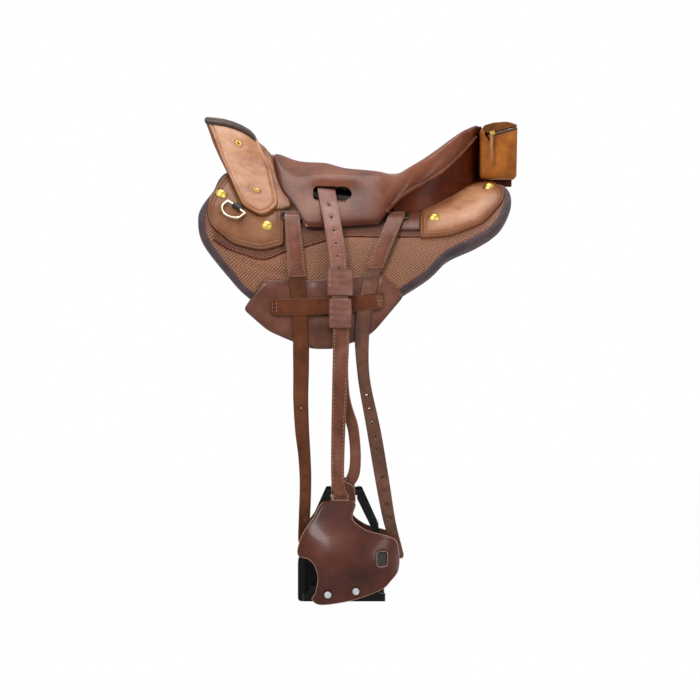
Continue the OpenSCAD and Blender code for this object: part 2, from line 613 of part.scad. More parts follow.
module lower_leather() {
  difference() {
    union() {
      ply_top(r_front_in, r_front);
      ply_top(r_back_in, r_back);
    }
    post(post_d + 0.2);
  }
  front_run();
  back_run();
  difference() {
    rod_along_x([-80, -58], -half_gap - loop_mid_r, bar_z, 2 * bend_out_r);
    rod_along_x([-reach, reach], -half_gap - loop_mid_r, bar_z, 2 * bend_in_r);
    box([-reach, reach], [-reach, 0], [bar_z, reach]);
  }
  tongue();
}
front_slant = r_low_front_in - r_front_in;
module front_run() intersection() {
  cut(strap_outline(front_ply_s));
  union() {
    intersection() {
      layer(r_front_in, r_front);
      box([-reach, 0], [-reach, 0], [arc_z, -189]);
    }
    hanging(front_ply_s, half_gap + r_front_in, half_gap + r_front, front_slant);
  }
}
module back_run() intersection() {
  cut(strap_outline(back_ply_s));
  union() {
    intersection() {
      layer(r_back_in, r_back);
      box([-reach, 0], [-reach, 0], [arc_z, -189]);
    }
    box([-reach, 0], [-half_gap - r_back, -half_gap - r_back_in], [bar_z, arc_z]);
  }
}
module tongue() difference() {
  intersection() {
    cut(rounded([[-86, -489, 6], [-63, -490, 10], [-44, -500, 12], [-42, -527, 2], [-86, -527, 2]]));
    box([-reach, 0], [-half_gap - r_tongue, -half_gap - r_tongue_in], [-reach, 0]);
  }
  box([-82, -56], [-reach, 0], [-524, bar_z - 1]);
}
module lower_leather_left() color("#6a3a2c") lower_leather();
module lower_leather_right() color("#6a3a2c") right_side() lower_leather();
lower_sleeve_z = [-217, -165];
module leather_sleeve() difference() {
  sheet([[post_x - sleeve_half_w, lower_sleeve_z[0]], [post_x + sleeve_half_w, lower_sleeve_z[0]],
    [post_x + sleeve_half_w, lower_sleeve_z[1]], [post_x - sleeve_half_w, lower_sleeve_z[1]]],
    r_sleeve_in, r_sleeve);
  sheet([[post_x - sleeve_half_w + sleeve_t, -reach], [post_x + sleeve_half_w - sleeve_t, -reach],
    [post_x + sleeve_half_w - sleeve_t, 0], [post_x - sleeve_half_w + sleeve_t, 0]],
    r_sleeve_in + sleeve_t, r_sleeve - sleeve_t);
}
module leather_sleeve_left() color("#54302a") leather_sleeve();
module leather_sleeve_right() color("#54302a") right_side() leather_sleeve();
module leather_buckle() {
  sheet(rounded([[post_x - 15, post_z - 14, 4], [post_x + 15, post_z - 14, 4], [post_x + 15, post_z + 9, 4],
    [post_x - 15, post_z + 9, 4]]), r_plate_in, r_plate_in + plate_t);
  post(post_d);
}
module leather_buckle_left() color("#9aa0a6") leather_buckle();
module leather_buckle_right() color("#9aa0a6") right_side() leather_buckle();

// Stirrup frame, tread and hood
function frame_outline(t) = rounded([
  [bar_x - eye_half_w - 9 + t, bar_z + 5 - t, 4], [bar_x + eye_half_w + 9 - t, bar_z + 5 - t, 4],
  [bar_x + stirrup_w / 2 - 12 - t, bar_z - 78, 40], [bar_x + stirrup_w / 2 - t, bar_z - 120, 40],
  [bar_x + stirrup_w / 2 - t, tread_z + t, 6], [bar_x - stirrup_w / 2 + t, tread_z + t, 6],
  [bar_x - stirrup_w / 2 + t, bar_z - 120, 40], [bar_x - stirrup_w / 2 + 12 + t, bar_z - 78, 40]]);
module stirrup_frame() {
  rod_along_x([bar_x - eye_half_w - 4, bar_x + eye_half_w + 4], bar_y, bar_z, top_bar_d);
  intersection() {
    difference() {
      cut(frame_outline(0));
      cut(rounded([[bar_x - eye_half_w, bar_z + reach, 1], [bar_x + eye_half_w, bar_z + reach, 1],
        [bar_x + eye_half_w, bar_z - 10, 8], [bar_x + stirrup_w / 2 - 12 - branch_t, bar_z - 80, 34],
        [bar_x + stirrup_w / 2 - branch_t, bar_z - 120, 34],
        [bar_x + stirrup_w / 2 - branch_t, tread_z + tread_t, 8],
        [bar_x - stirrup_w / 2 + branch_t, tread_z + tread_t, 8],
        [bar_x - stirrup_w / 2 + branch_t, bar_z - 120, 34],
        [bar_x - stirrup_w / 2 + 12 + branch_t, bar_z - 80, 34], [bar_x - eye_half_w, bar_z - 10, 8]]));
    }
    translate([-reach, 0, 0]) rotate([90, 0, 90]) linear_extrude(reach) polygon([
      [bar_y - 4, bar_z + 6], [bar_y + 4, bar_z + 6], [bar_y + 4, bar_z - 14],
      [bar_y + branch_half_depth, bar_z - 50], [bar_y + branch_half_depth, tread_z],
      [bar_y - branch_half_depth, tread_z], [bar_y - branch_half_depth, bar_z - 50], [bar_y - 4, bar_z - 14]]);
  }
  translate([0, 0, tread_z]) linear_extrude(tread_t) polygon(rounded([
    [bar_x - stirrup_w / 2 + 8, bar_y - tread_depth / 2, 10],
    [bar_x + stirrup_w / 2 - 8, bar_y - tread_depth / 2, 10],
    [bar_x + stirrup_w / 2 - 8, bar_y + tread_depth / 2, 10],
    [bar_x - stirrup_w / 2 + 8, bar_y + tread_depth / 2, 10]]));
  box([bar_x - 62, bar_x + 40], [bar_y - tread_depth / 2, bar_y - tread_depth / 2 + 5],
    [tread_z, tread_z + lip_h]);
}
module stirrup_left() color("#1d1c1c") stirrup_frame();
module stirrup_right() color("#1d1c1c") right_side() stirrup_frame();
pad_t = 4;
pad_half_l = stirrup_w / 2 - branch_t - 6;
pad_rib = 3;
pad_ribs = 5;
pad_rib_pitch = (pad_half_l - 9) / pad_ribs;
module tread_pad() translate([0, 0, tread_z + tread_t]) linear_extrude(pad_t) difference() {
  polygon(rounded([
    [bar_x - pad_half_l, bar_y - tread_depth / 2 + 6, 6], [bar_x + pad_half_l, bar_y - tread_depth / 2 + 6, 6],
    [bar_x + pad_half_l, bar_y + tread_depth / 2 - 3, 6], [bar_x - pad_half_l, bar_y + tread_depth / 2 - 3, 6]]));
  for (i = [-pad_ribs:pad_ribs])
    translate([bar_x + i * pad_rib_pitch, bar_y - tread_depth / 4]) square([pad_rib, tread_depth / 2]);
}
module tread_pad_left() color("#2b2a2a") tread_pad();
module tread_pad_right() color("#2b2a2a") right_side() tread_pad();
hood_foot = tread_depth / 2 + 1.5;
// Hood: height, how far its middle and its sides stand out in front of the top bar
hood_s = [[hood_top_z + 3, 8, 8], [hood_top_z - 30, 0.4 * hood_depth, 13.5],
  [hood_top_z - 66, 0.76 * hood_depth, 13.5], [hood_top_z - 100, 0.97 * hood_depth, 13.5],
  [hood_top_z - 123, 0.95 * hood_depth, 16], [hood_top_z - 141, 0.76 * hood_depth, 24],
  [hood_top_z - 157, 36, hood_foot], [hood_top_z - 171, 32, hood_foot], [hood_top_z - 190, 31, hood_foot]];
hood_mid_x = bar_x + 4;
hood_half_w = 94;
hood_cols = 18;
hood_fall = [2.2, 0.6];
function hood_point(x, s) = let (o = min(abs(x - hood_mid_x) / hood_half_w, 1))
  [x, bar_y - s[2] - (s[1] - s[2]) * pow(1 - pow(o, hood_fall[0]), hood_fall[1]), s[0]];
hood_rows = [for (k = [0:16]) open_point(hood_s, k / 2)];
hood_x = [for (k = [0:hood_cols]) hood_mid_x - hood_half_w + k * 2 * hood_half_w / hood_cols];
function hood_loop(s) = concat([for (x = hood_x) hood_point(x, s) - [0, hood_t, 0]],
  [for (k = [hood_cols:-1:0]) hood_point(hood_x[k], s)]);
hood_outline = closed_curve([[-102, -529], [-72, -526], [-43, -529], [-48, -552], [-44, -563], [-24, -577],
  [0, -584], [20, -590], [32, -601], [36, -630], [33, -652], [20, -669], [4, -684], [-40, -701], [-78, -709],
  [-108, -711], [-121, -701], [-115, -690], [-110, -663], [-116, -641], [-128, -629], [-144, -625], [-146, -610],
  [-136, -582], [-118, -555]], 3);
hood_slot = rounded([[-4, -617, 5], [14, -615, 5], [14, -641, 5], [-4, -643, 5]]);
rivet_at = [[-92, -693], [-42, -687]];
rivet_d = 12;
shank_d = 5;
rivet_y = bar_y - 39 - hood_t;
module shanks(d) for (p = rivet_at) translate([p[0], bar_y - tread_depth / 2, p[1]]) rotate([90, 0, 0])
  cylinder(d = d, h = bar_y - tread_depth / 2 - rivet_y);
module hood() difference() {
  intersection() {
    skin([for (s = hood_rows) hood_loop(s)]);
    cut(hood_outline);
  }
  cut(hood_slot);
  shanks(shank_d + 2 * lay_gap);
}
module hood_rivets() {
  shanks(shank_d);
  for (p = rivet_at) translate([p[0], rivet_y, p[1]]) rotate([90, 0, 0]) cylinder(d = rivet_d, h = 2.5);
}
module hood_rivets_left() color("#b9bcc0") hood_rivets();
module hood_rivets_right() color("#b9bcc0") right_side() hood_rivets();
module hood_left() color("#4e241c") hood();
module hood_right() color("#4e241c") right_side() hood();

// Cantle bag
bag_x = [182, 250];
bag_z = [51, 151];
zip_rise = 15;
zip_at = [200, 134];
zip_gap = 0.15;
module bag_prism(p, w) translate([0, w / 2, 0]) rotate([90, 0, 0]) linear_extrude(w) polygon(rounded(p));
function zip_line(x) = zip_at[1] + (x - zip_at[0]) * tan(zip_rise);
wall_t = 3;
lid_x = 189;
lid_z = 147;
module bag_body() color("#b0752e") difference() {
  bag_prism([[bag_x[0], bag_z[0], 8], [bag_x[1] - 2, bag_z[0], 5], [bag_x[1], zip_line(bag_x[1]) - zip_gap, 1],
    [zip_at[0], zip_line(zip_at[0]) - zip_gap, 1], [lid_x, zip_line(zip_at[0]) - zip_gap, 1],
    [lid_x - 2, lid_z, 0.8], [bag_x[0], 138, 6]], bag_w);
  bag_prism([[bag_x[0] + wall_t, bag_z[0] + wall_t, 6], [bag_x[1] - wall_t - 1, bag_z[0] + wall_t, 3],
    [bag_x[1] - wall_t, bag_z[1] + wall_t, 1], [lid_x + wall_t, bag_z[1] + wall_t, 1], [lid_x, zip_at[1] - 12, 3]],
    bag_w - 2 * wall_t);
}
module bag_lid() color("#a86a2a") bag_prism([[lid_x + zip_gap, zip_line(zip_at[0]) + zip_gap, 1],
  [zip_at[0], zip_line(zip_at[0]) + zip_gap, 1], [bag_x[1], zip_line(bag_x[1]) + zip_gap, 0.5],
  [bag_x[1] - 1, bag_z[1], 0.8], [206, bag_z[1], 12], [lid_x, lid_z, 0.8]], bag_w);
module on_zip(x) translate([zip_at[0], 0, zip_at[1]]) rotate([0, -zip_rise, 0]) translate([x, 0, 0]) children();
zip_t = 1.2;
slider_w = 9;
module bag_zip() color("#7a4a1e") both_sides() on_zip(0)
  box([0, zip_travel + slider_w], [-bag_w / 2 - zip_t, -bag_w / 2], [-5, -zip_gap]);
slider_t = 4;
slider_y = -bag_w / 2 - zip_t - lay_gap;
module zip_slider() color("#8a6a2c") {
  on_zip(0) box([0, slider_w], [slider_y - slider_t, slider_y], [-3.5, 3.5]);
  translate([zip_at[0] + 3, slider_y - slider_t, zip_at[1] - 1]) rotate([90, 0, 0]) cylinder(d = 3, h = 4);
}
pull_len = 50;
pull_w = 7;
pull_t = 2;
pull_y = slider_y - slider_t - lay_gap;
module zip_pull() color("#9a6428") translate([zip_at[0] + 3, pull_y, zip_at[1] - 1])
  rotate([90, 0, 0]) linear_extrude(pull_t) difference() {
  union() {
    circle(d = pull_w);
    translate([-pull_w / 2, -pull_len]) square([pull_w, pull_len]);
    translate([0, -pull_len]) circle(d = pull_w);
  }
  circle(d = 3.4);
}
module bag_backing() color("#1c1a19") {
  box([bag_x[0] - 3, bag_x[0]], [-44, 44], [64, 98]);
  box([206, 240], [-27, 27], [41, bag_z[0]]);
}

tree_bars();
ground_seat();
pommel_arch();
cantle_arch();
stirrup_rods();
seat();
cantle_cover();
pommel_cover();
pommel_patch();
pommel_rim();
pommel_eyelets();
panel_left();
panel_right();
skirt_left();
skirt_right();
binding_left();
binding_right();
lobe_left();
lobe_right();
front_jockey_left();
front_jockey_right();
rear_jockey_left();
rear_jockey_right();
dome_studs();
ring_tabs();
rigging_dees();
front_rigging_left();
front_rigging_right();
rear_rigging_left();
rear_rigging_right();
keeper_straps();
leather_loops();
bag_body();
bag_lid();
bag_zip();
bag_backing();
d_ring_left();
d_ring_right();
front_billet_left();
front_billet_right();
rear_billet_left();
rear_billet_right();
upper_leather_left();
upper_leather_right();
lower_leather_left();
lower_leather_right();
leather_sleeve_left();
leather_sleeve_right();
leather_buckle_left();
leather_buckle_right();
stirrup_left();
stirrup_right();
tread_pad_left();
tread_pad_right();
hood_left();
hood_right();
hood_rivets_left();
hood_rivets_right();
zip_slider();
zip_pull();
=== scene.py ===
"""Looks of an endurance saddle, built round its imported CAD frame.

Every length is in millimetres in the classes below and turned to metres when a mesh is made.
The frame is the CAD model's: +X towards the tail, +Z up, -Y towards the near side.
"""

from __future__ import annotations

import json
import logging
import math
from dataclasses import dataclass
from enum import Enum
from typing import Callable, Sequence

import bpy
import numpy as np
from mathutils import Vector
from mathutils.geometry import delaunay_2d_cdt
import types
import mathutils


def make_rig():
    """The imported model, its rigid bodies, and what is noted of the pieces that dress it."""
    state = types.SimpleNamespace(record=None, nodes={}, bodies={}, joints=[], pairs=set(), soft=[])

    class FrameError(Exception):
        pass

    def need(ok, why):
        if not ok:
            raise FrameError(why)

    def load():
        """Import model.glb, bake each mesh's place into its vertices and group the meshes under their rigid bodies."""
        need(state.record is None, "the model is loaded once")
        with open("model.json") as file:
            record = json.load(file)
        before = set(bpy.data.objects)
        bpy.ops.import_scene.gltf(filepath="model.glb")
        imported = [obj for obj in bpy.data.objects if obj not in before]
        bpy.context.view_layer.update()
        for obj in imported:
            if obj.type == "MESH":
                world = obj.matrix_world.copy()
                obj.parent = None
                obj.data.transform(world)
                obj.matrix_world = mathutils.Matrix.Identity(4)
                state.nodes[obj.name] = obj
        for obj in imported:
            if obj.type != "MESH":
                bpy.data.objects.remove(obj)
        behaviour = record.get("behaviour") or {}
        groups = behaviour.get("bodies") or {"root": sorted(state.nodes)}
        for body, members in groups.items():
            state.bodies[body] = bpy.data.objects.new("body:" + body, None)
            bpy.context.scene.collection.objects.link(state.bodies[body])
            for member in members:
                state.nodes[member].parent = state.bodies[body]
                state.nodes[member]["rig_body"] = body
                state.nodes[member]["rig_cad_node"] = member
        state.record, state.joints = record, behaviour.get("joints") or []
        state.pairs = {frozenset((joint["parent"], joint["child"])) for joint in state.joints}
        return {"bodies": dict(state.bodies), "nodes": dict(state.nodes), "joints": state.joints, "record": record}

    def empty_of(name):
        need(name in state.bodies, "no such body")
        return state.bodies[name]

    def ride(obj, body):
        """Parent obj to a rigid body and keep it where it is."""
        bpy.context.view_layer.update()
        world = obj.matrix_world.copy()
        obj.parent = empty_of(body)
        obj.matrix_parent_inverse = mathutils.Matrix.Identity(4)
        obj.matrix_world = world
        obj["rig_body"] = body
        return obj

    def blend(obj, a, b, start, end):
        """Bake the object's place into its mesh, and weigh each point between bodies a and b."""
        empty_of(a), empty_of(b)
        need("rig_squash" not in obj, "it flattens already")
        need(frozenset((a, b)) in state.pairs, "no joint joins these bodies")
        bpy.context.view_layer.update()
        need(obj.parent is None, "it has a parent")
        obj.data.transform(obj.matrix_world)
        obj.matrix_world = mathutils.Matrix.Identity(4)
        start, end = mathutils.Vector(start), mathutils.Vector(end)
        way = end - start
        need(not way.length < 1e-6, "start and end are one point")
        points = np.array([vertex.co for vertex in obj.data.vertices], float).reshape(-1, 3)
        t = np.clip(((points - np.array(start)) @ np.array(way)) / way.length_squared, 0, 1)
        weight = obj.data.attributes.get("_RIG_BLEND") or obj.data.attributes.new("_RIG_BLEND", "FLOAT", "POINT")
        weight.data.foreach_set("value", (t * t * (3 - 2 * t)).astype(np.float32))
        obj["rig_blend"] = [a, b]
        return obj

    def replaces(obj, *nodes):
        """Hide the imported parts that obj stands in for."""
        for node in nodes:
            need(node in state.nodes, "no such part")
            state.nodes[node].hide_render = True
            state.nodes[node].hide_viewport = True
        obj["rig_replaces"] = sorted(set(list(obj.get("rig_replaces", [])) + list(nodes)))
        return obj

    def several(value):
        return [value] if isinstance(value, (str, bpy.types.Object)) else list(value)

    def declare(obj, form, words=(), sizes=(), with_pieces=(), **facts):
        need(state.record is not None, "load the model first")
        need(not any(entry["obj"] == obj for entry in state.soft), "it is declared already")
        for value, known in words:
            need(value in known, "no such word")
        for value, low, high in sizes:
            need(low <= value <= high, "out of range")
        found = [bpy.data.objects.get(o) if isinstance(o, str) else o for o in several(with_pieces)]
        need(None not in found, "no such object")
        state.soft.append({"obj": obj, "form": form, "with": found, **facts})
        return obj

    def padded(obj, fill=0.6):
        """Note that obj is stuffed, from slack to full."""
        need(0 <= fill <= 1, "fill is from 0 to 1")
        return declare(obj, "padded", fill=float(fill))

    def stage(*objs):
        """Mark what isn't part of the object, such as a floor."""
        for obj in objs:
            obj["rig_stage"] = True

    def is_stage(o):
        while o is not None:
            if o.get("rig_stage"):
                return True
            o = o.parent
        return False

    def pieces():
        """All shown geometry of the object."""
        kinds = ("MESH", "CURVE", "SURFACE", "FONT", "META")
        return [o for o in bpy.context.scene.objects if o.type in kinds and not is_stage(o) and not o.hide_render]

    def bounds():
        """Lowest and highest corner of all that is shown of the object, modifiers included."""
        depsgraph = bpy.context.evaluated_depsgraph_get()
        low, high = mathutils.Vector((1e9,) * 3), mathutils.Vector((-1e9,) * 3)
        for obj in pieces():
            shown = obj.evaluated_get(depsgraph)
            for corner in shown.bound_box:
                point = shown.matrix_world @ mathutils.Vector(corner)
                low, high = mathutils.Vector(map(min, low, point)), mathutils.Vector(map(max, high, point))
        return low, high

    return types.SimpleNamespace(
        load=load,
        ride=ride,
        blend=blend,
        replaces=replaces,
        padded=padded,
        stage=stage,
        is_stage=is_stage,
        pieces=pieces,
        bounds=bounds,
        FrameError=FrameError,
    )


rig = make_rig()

log = logging.getLogger("saddle")

MM = 0.001
TINY = 1e-9
FAR = 1e9
SHADE_ANGLE = 50.0
ROUND_ANGLE = 60.0
TAPE_ANGLE = 40.0
Pair = tuple[float, float]
Pair3 = tuple[float, float, float]
Arr = np.ndarray
Obj = bpy.types.Object
Mat = bpy.types.Material
Node = bpy.types.Node
Socket = bpy.types.NodeSocket
Tree = bpy.types.NodeTree
Lay = Callable[[Arr, Arr, Arr], Arr]


class Side(Enum):
    """The two sides of the saddle, as the sign that takes the near side's Y to this side."""

    LEFT = 1
    RIGHT = -1

    @property
    def tag(self) -> str:
        """Returns the word that the CAD names of this side end in."""
        return self.name.lower()


@dataclass(frozen=True)
class Back:
    """The horse's back that every layer of leather follows, in millimetres.

    The section across is an arc on each side, and it is swept along a dip from front to rear.
    """

    radius: float = 225.0
    half_gap: float = 30.0
    dip: float = 780.0

    def level(self, x: Arr, z: Arr) -> Arr:
        """Returns the height in the section that a point seen from the side has."""
        return self.dip - np.hypot(x, self.dip - z)

    def height(self, x: Arr, level: Arr) -> Arr:
        """Returns the real height of a section height at a place along the saddle."""
        return self.dip - np.sqrt(np.maximum((self.dip - level) ** 2 - x**2, 1.0))

    def point(self, x: Arr, z: Arr, r: Arr, drop: float = 0.0) -> Arr:
        """Places points that are seen from the side on a layer of the near flank.

        Args:
            x: Places along the saddle.
            z: Heights.
            r: Radius of the layer, one value or one a point.
            drop: How much flatter than the back the layer lies.

        Returns:
            The points as rows of x, y and z.
        """
        x, z = np.asarray(x, float), np.asarray(z, float)
        rise = self.level(x, z) + self.radius
        rr = np.asarray(r, float) - drop
        out = np.where(rise > 0, np.sqrt(np.maximum(rr**2 - np.maximum(rise, 0) ** 2, 0)), rr)
        return np.column_stack([x, -(self.half_gap + drop + out), z])

    def flat(self, outline: Arr, r: float) -> Arr:
        """Unrolls an outline seen from the side onto the flat, for a layer of a radius.

        Args:
            outline: Outline seen from the side.
            r: Radius of the layer.

        Returns:
            Rows of places along the saddle and up the flat.
        """
        rise = self.level(outline[:, 0], outline[:, 1]) + self.radius
        arc = np.where(rise > 0, r * np.arcsin(np.clip(rise / r, 0, 1)), rise)
        return np.column_stack([outline[:, 0], arc])

    def laid(self, x: Arr, arc: Arr, r: float, out: Arr, drop: float = 0.0) -> Arr:
        """Lays points of the flat on the near flank.

        Args:
            x: Places along the saddle.
            arc: Places up the unrolled flank.
            r: Radius of the layer that was unrolled.
            out: How far outside that radius each point lies.
            drop: How much flatter than the back the layer lies.

        Returns:
            The points as rows of x, y and z.
        """
        turn = np.clip(arc / r, 0, math.pi / 2)
        rr = r + out
        level = np.where(arc > 0, rr * np.sin(turn), arc) - self.radius
        return np.column_stack([x, -(self.half_gap + drop + rr * np.cos(turn)), self.height(x, level)])

    def normal(self, x: Arr, z: Arr, r: float) -> Arr:
        """Returns the outward directions of a layer at points seen from the side.

        Args:
            x: Places along the saddle.
            z: Heights.
            r: Radius of the layer.

        Returns:
            Rows of unit directions.
        """
        x, z = np.atleast_1d(np.asarray(x, float)), np.atleast_1d(np.asarray(z, float))
        rise = np.maximum(self.level(x, z) + self.radius, 0)
        far = np.hypot(x, self.dip - z)
        k = np.minimum(rise / r, 1)
        return np.column_stack([-x / far * k, -np.sqrt(1 - k * k), (self.dip - z) / far * k])


BACK = Back()


def between(a: Arr, b: Arr, c: Arr, d: Arr, t: Arr) -> Arr:
    """Returns the points at shares of the way from b to c, on a smooth curve that also heeds a and d."""
    return 0.5 * (2 * b + (c - a) * t + (2 * a - 5 * b + 4 * c - d) * t**2 + (3 * b - a - 3 * c + d) * t**3)


def lengths(line: Arr) -> Arr:
    """Returns how far along a line of points each of them lies."""
    return np.concatenate([[0], np.cumsum(np.linalg.norm(np.diff(line, axis=0), axis=1))])


def points_at(line: Arr, run: Arr, at: Arr) -> Arr:
    """Returns the points of a line at lengths along it."""
    return np.column_stack([np.interp(at, run, line[:, k]) for k in range(line.shape[1])])


def unit(rows: Arr) -> Arr:
    """Returns rows of directions, each one long."""
    return rows / np.maximum(np.linalg.norm(rows, axis=1), TINY)[:, None]


def smooth_line(points: Sequence[Sequence[float]], count: int, closed: bool = False) -> Arr:
    """Draws a smooth curve through given points.

    Args:
        points: The points that the curve passes through.
        count: How many evenly spaced points to return.
        closed: Whether the curve comes back to its start.

    Returns:
        The points of the curve, evenly spaced along it.
    """
    p = np.asarray(points, float)
    p = np.vstack([p[-1], p, p[:2]]) if closed else np.vstack([2 * p[0] - p[1], p, 2 * p[-1] - p[-2]])
    t = np.linspace(0, 1, 12, endpoint=False)[:, None]
    dense = []
    for a, b, c, d in zip(p[:-3], p[1:-2], p[2:-1], p[3:]):
        dense.append(between(a, b, c, d, t))
    line = np.vstack(dense + [p[-2:-1]])
    run = lengths(line)
    at = np.linspace(0, run[-1], count, endpoint=not closed)
    return points_at(line, run, at)


def distance_to(points: Arr, line: Arr, closed: bool = True) -> Arr:
    """Returns each point's distance to a line of points in the plane.

    Args:
        points: Rows of x and y.
        line: Points of the line.
        closed: Whether the line comes back to its start.

    Returns:
        One distance a point.
    """
    ends = np.roll(line, -1, axis=0) if closed else line[1:]
    starts = line if closed else line[:-1]
    best = np.full(len(points), FAR)
    for a, b in zip(starts, ends):
        d = b - a
        t = np.clip(((points - a) @ d) / max(d @ d, TINY), 0, 1)
        best = np.minimum(best, np.linalg.norm(points - a - t[:, None] * d, axis=1))
    return best


def pick(obj: Obj) -> None:
    """Leaves only this object selected and active.

    Args:
        obj: The object.
    """
    bpy.ops.object.select_all(action="DESELECT")
    obj.select_set(True)
    bpy.context.view_layer.objects.active = obj


def finish_with(obj: Obj, kind: str, **settings: object) -> None:
    """Adds a modifier and applies it.

    Args:
        obj: The piece.
        kind: The modifier's type.
        **settings: The modifier's settings.
    """
    pick(obj)
    mod = obj.modifiers.new(kind.title(), kind)
    for key, value in settings.items():
        setattr(mod, key, value)
    bpy.ops.object.modifier_apply(modifier=mod.name)


def smooth(obj: Obj, angle: float) -> None:
    """Shades a piece smooth, with creases where its faces meet at more than an angle in degrees."""
    pick(obj)
    bpy.ops.object.shade_smooth_by_angle(angle=math.radians(angle))


def outward(obj: Obj) -> None:
    """Turns a closed piece's faces outwards.

    Args:
        obj: The piece.
    """
    pick(obj)
    bpy.ops.object.mode_set(mode="EDIT")
    bpy.ops.mesh.select_all(action="SELECT")
    bpy.ops.mesh.normals_make_consistent(inside=False)
    bpy.ops.object.mode_set(mode="OBJECT")


def mark(obj: Obj, name: str, values: Arr) -> None:
    """Writes one number a point to a piece, for its material to read."""
    layer = obj.data.attributes.get(name) or obj.data.attributes.new(name, "FLOAT", "POINT")
    layer.data.foreach_set("value", np.asarray(values, np.float32))


def grid(name: str, columns: int, rows: int, place: Callable[[Arr, Arr], Arr], size: Pair) -> Obj:
    """Models a sheet from a grid primitive, by moving its points to where a rule puts them.

    Args:
        name: The piece's name.
        columns: Cells along u.
        rows: Cells along v.
        place: Takes the u and v of all points, from 0 to 1, and returns their places in millimetres.
        size: Real length along u and v in millimetres, which the UV map is scaled to.

    Returns:
        The sheet, with its place in its mesh.
    """
    bpy.ops.object.select_all(action="DESELECT")
    bpy.ops.mesh.primitive_grid_add(x_subdivisions=columns, y_subdivisions=rows, size=1, calc_uvs=True)
    obj = bpy.context.active_object
    obj.name = obj.data.name = name
    flat = np.empty(len(obj.data.vertices) * 3)
    obj.data.vertices.foreach_get("co", flat)
    uv = flat.reshape(-1, 3)[:, :2] + 0.5
    obj.data.vertices.foreach_set("co", (place(uv[:, 0], uv[:, 1]) * MM).ravel())
    maps = obj.data.uv_layers.active.data
    at = np.empty(len(maps) * 2)
    maps.foreach_get("uv", at)
    maps.foreach_set("uv", (at.reshape(-1, 2) * np.asarray(size) * MM).ravel())
    obj.data.update()
    return obj


def solid(name: str, points: Arr, faces: list[tuple[int, ...]]) -> Obj:
    """Makes a piece from points in millimetres and faces.

    Args:
        name: The piece's name.
        points: Rows of x, y and z in millimetres.
        faces: Indices of each face's points.

    Returns:
        The new piece.
    """
    mesh = bpy.data.meshes.new(name)
    mesh.from_pydata((np.asarray(points) * MM).tolist(), [], faces)
    obj = bpy.data.objects.new(name, mesh)
    bpy.context.scene.collection.objects.link(obj)
    return obj


def loft(name: str, rings: Arr, closed: bool = False) -> Obj:
    """Skins a row of rings of points into one closed piece.

    Args:
        name: The piece's name.
        rings: Array of rings by points by three, in millimetres.
        closed: Whether the last ring joins the first; if not, both ends are filled.

    Returns:
        The new piece, with its faces outwards.
    """
    m, n = rings.shape[:2]
    faces: list[tuple[int, ...]] = []
    for i in range(m if closed else m - 1):
        j = (i + 1) % m
        faces += [(i * n + k, i * n + (k + 1) % n, j * n + (k + 1) % n, j * n + k) for k in range(n)]
    if not closed:
        faces += [tuple(range(n - 1, -1, -1)), tuple(range((m - 1) * n, m * n))]
    obj = solid(name, rings.reshape(-1, 3), faces)
    outward(obj)
    return obj


def tube(name: str, path: Arr, radius: float, sides: int = 10, squash: float = 1.0) -> Obj:
    """Sweeps a round or oval section along a path.

    Args:
        name: The piece's name.
        path: Points of the path in millimetres.
        radius: Radius of the section across the path, in millimetres.
        sides: Points round the section.
        squash: The other radius as a share of the first.

    Returns:
        The new piece.
    """
    path = np.asarray(path, float)
    ahead = np.roll(path, -1, 0) - np.roll(path, 1, 0)
    ahead[0], ahead[-1] = path[1] - path[0], path[-1] - path[-2]
    ahead /= np.linalg.norm(ahead, axis=1)[:, None]
    a = np.cross(ahead, (0.0, -1.0, 0.0))
    a /= np.maximum(np.linalg.norm(a, axis=1), 1e-6)[:, None]
    b = np.cross(a, ahead)
    turn = np.linspace(0, 2 * np.pi, sides, endpoint=False)
    wide, deep = np.cos(turn)[None, :, None], squash * np.sin(turn)[None, :, None]
    return loft(name, path[:, None] + radius * (wide * a[:, None] + deep * b[:, None]))


def join(name: str, pieces: Sequence[Obj]) -> Obj:
    """Joins pieces into one and names it.

    Args:
        name: The piece's name.
        pieces: What is joined, the first one kept.

    Returns:
        The joined piece.
    """
    bpy.ops.object.select_all(action="DESELECT")
    for piece in pieces:
        piece.select_set(True)
    bpy.context.view_layer.objects.active = pieces[0]
    bpy.ops.object.join()
    pieces[0].name = pieces[0].data.name = name
    return pieces[0]


def across(obj: Obj, side: Side) -> Obj:
    """Gives a near-side piece its place on either side.

    Args:
        obj: The piece as modelled on the near side.
        side: The side that it belongs on.

    Returns:
        The same piece, mirrored where it belongs on the far side.
    """
    if side is Side.RIGHT:
        flat = np.empty(len(obj.data.vertices) * 3)
        obj.data.vertices.foreach_get("co", flat)
        flat[1::3] *= -1
        obj.data.vertices.foreach_set("co", flat)
        obj.data.flip_normals()
        obj.data.update()
    return obj


def cut_out(obj: Obj, cutter: Obj) -> None:
    """Cuts one closed piece out of another and removes the cutter.

    Args:
        obj: The piece that is cut.
        cutter: The closed piece that is taken away.
    """
    finish_with(obj, "BOOLEAN", object=cutter, operation="DIFFERENCE", solver="EXACT", use_self=True,
                use_hole_tolerant=True)
    bpy.data.objects.remove(cutter, do_unlink=True)


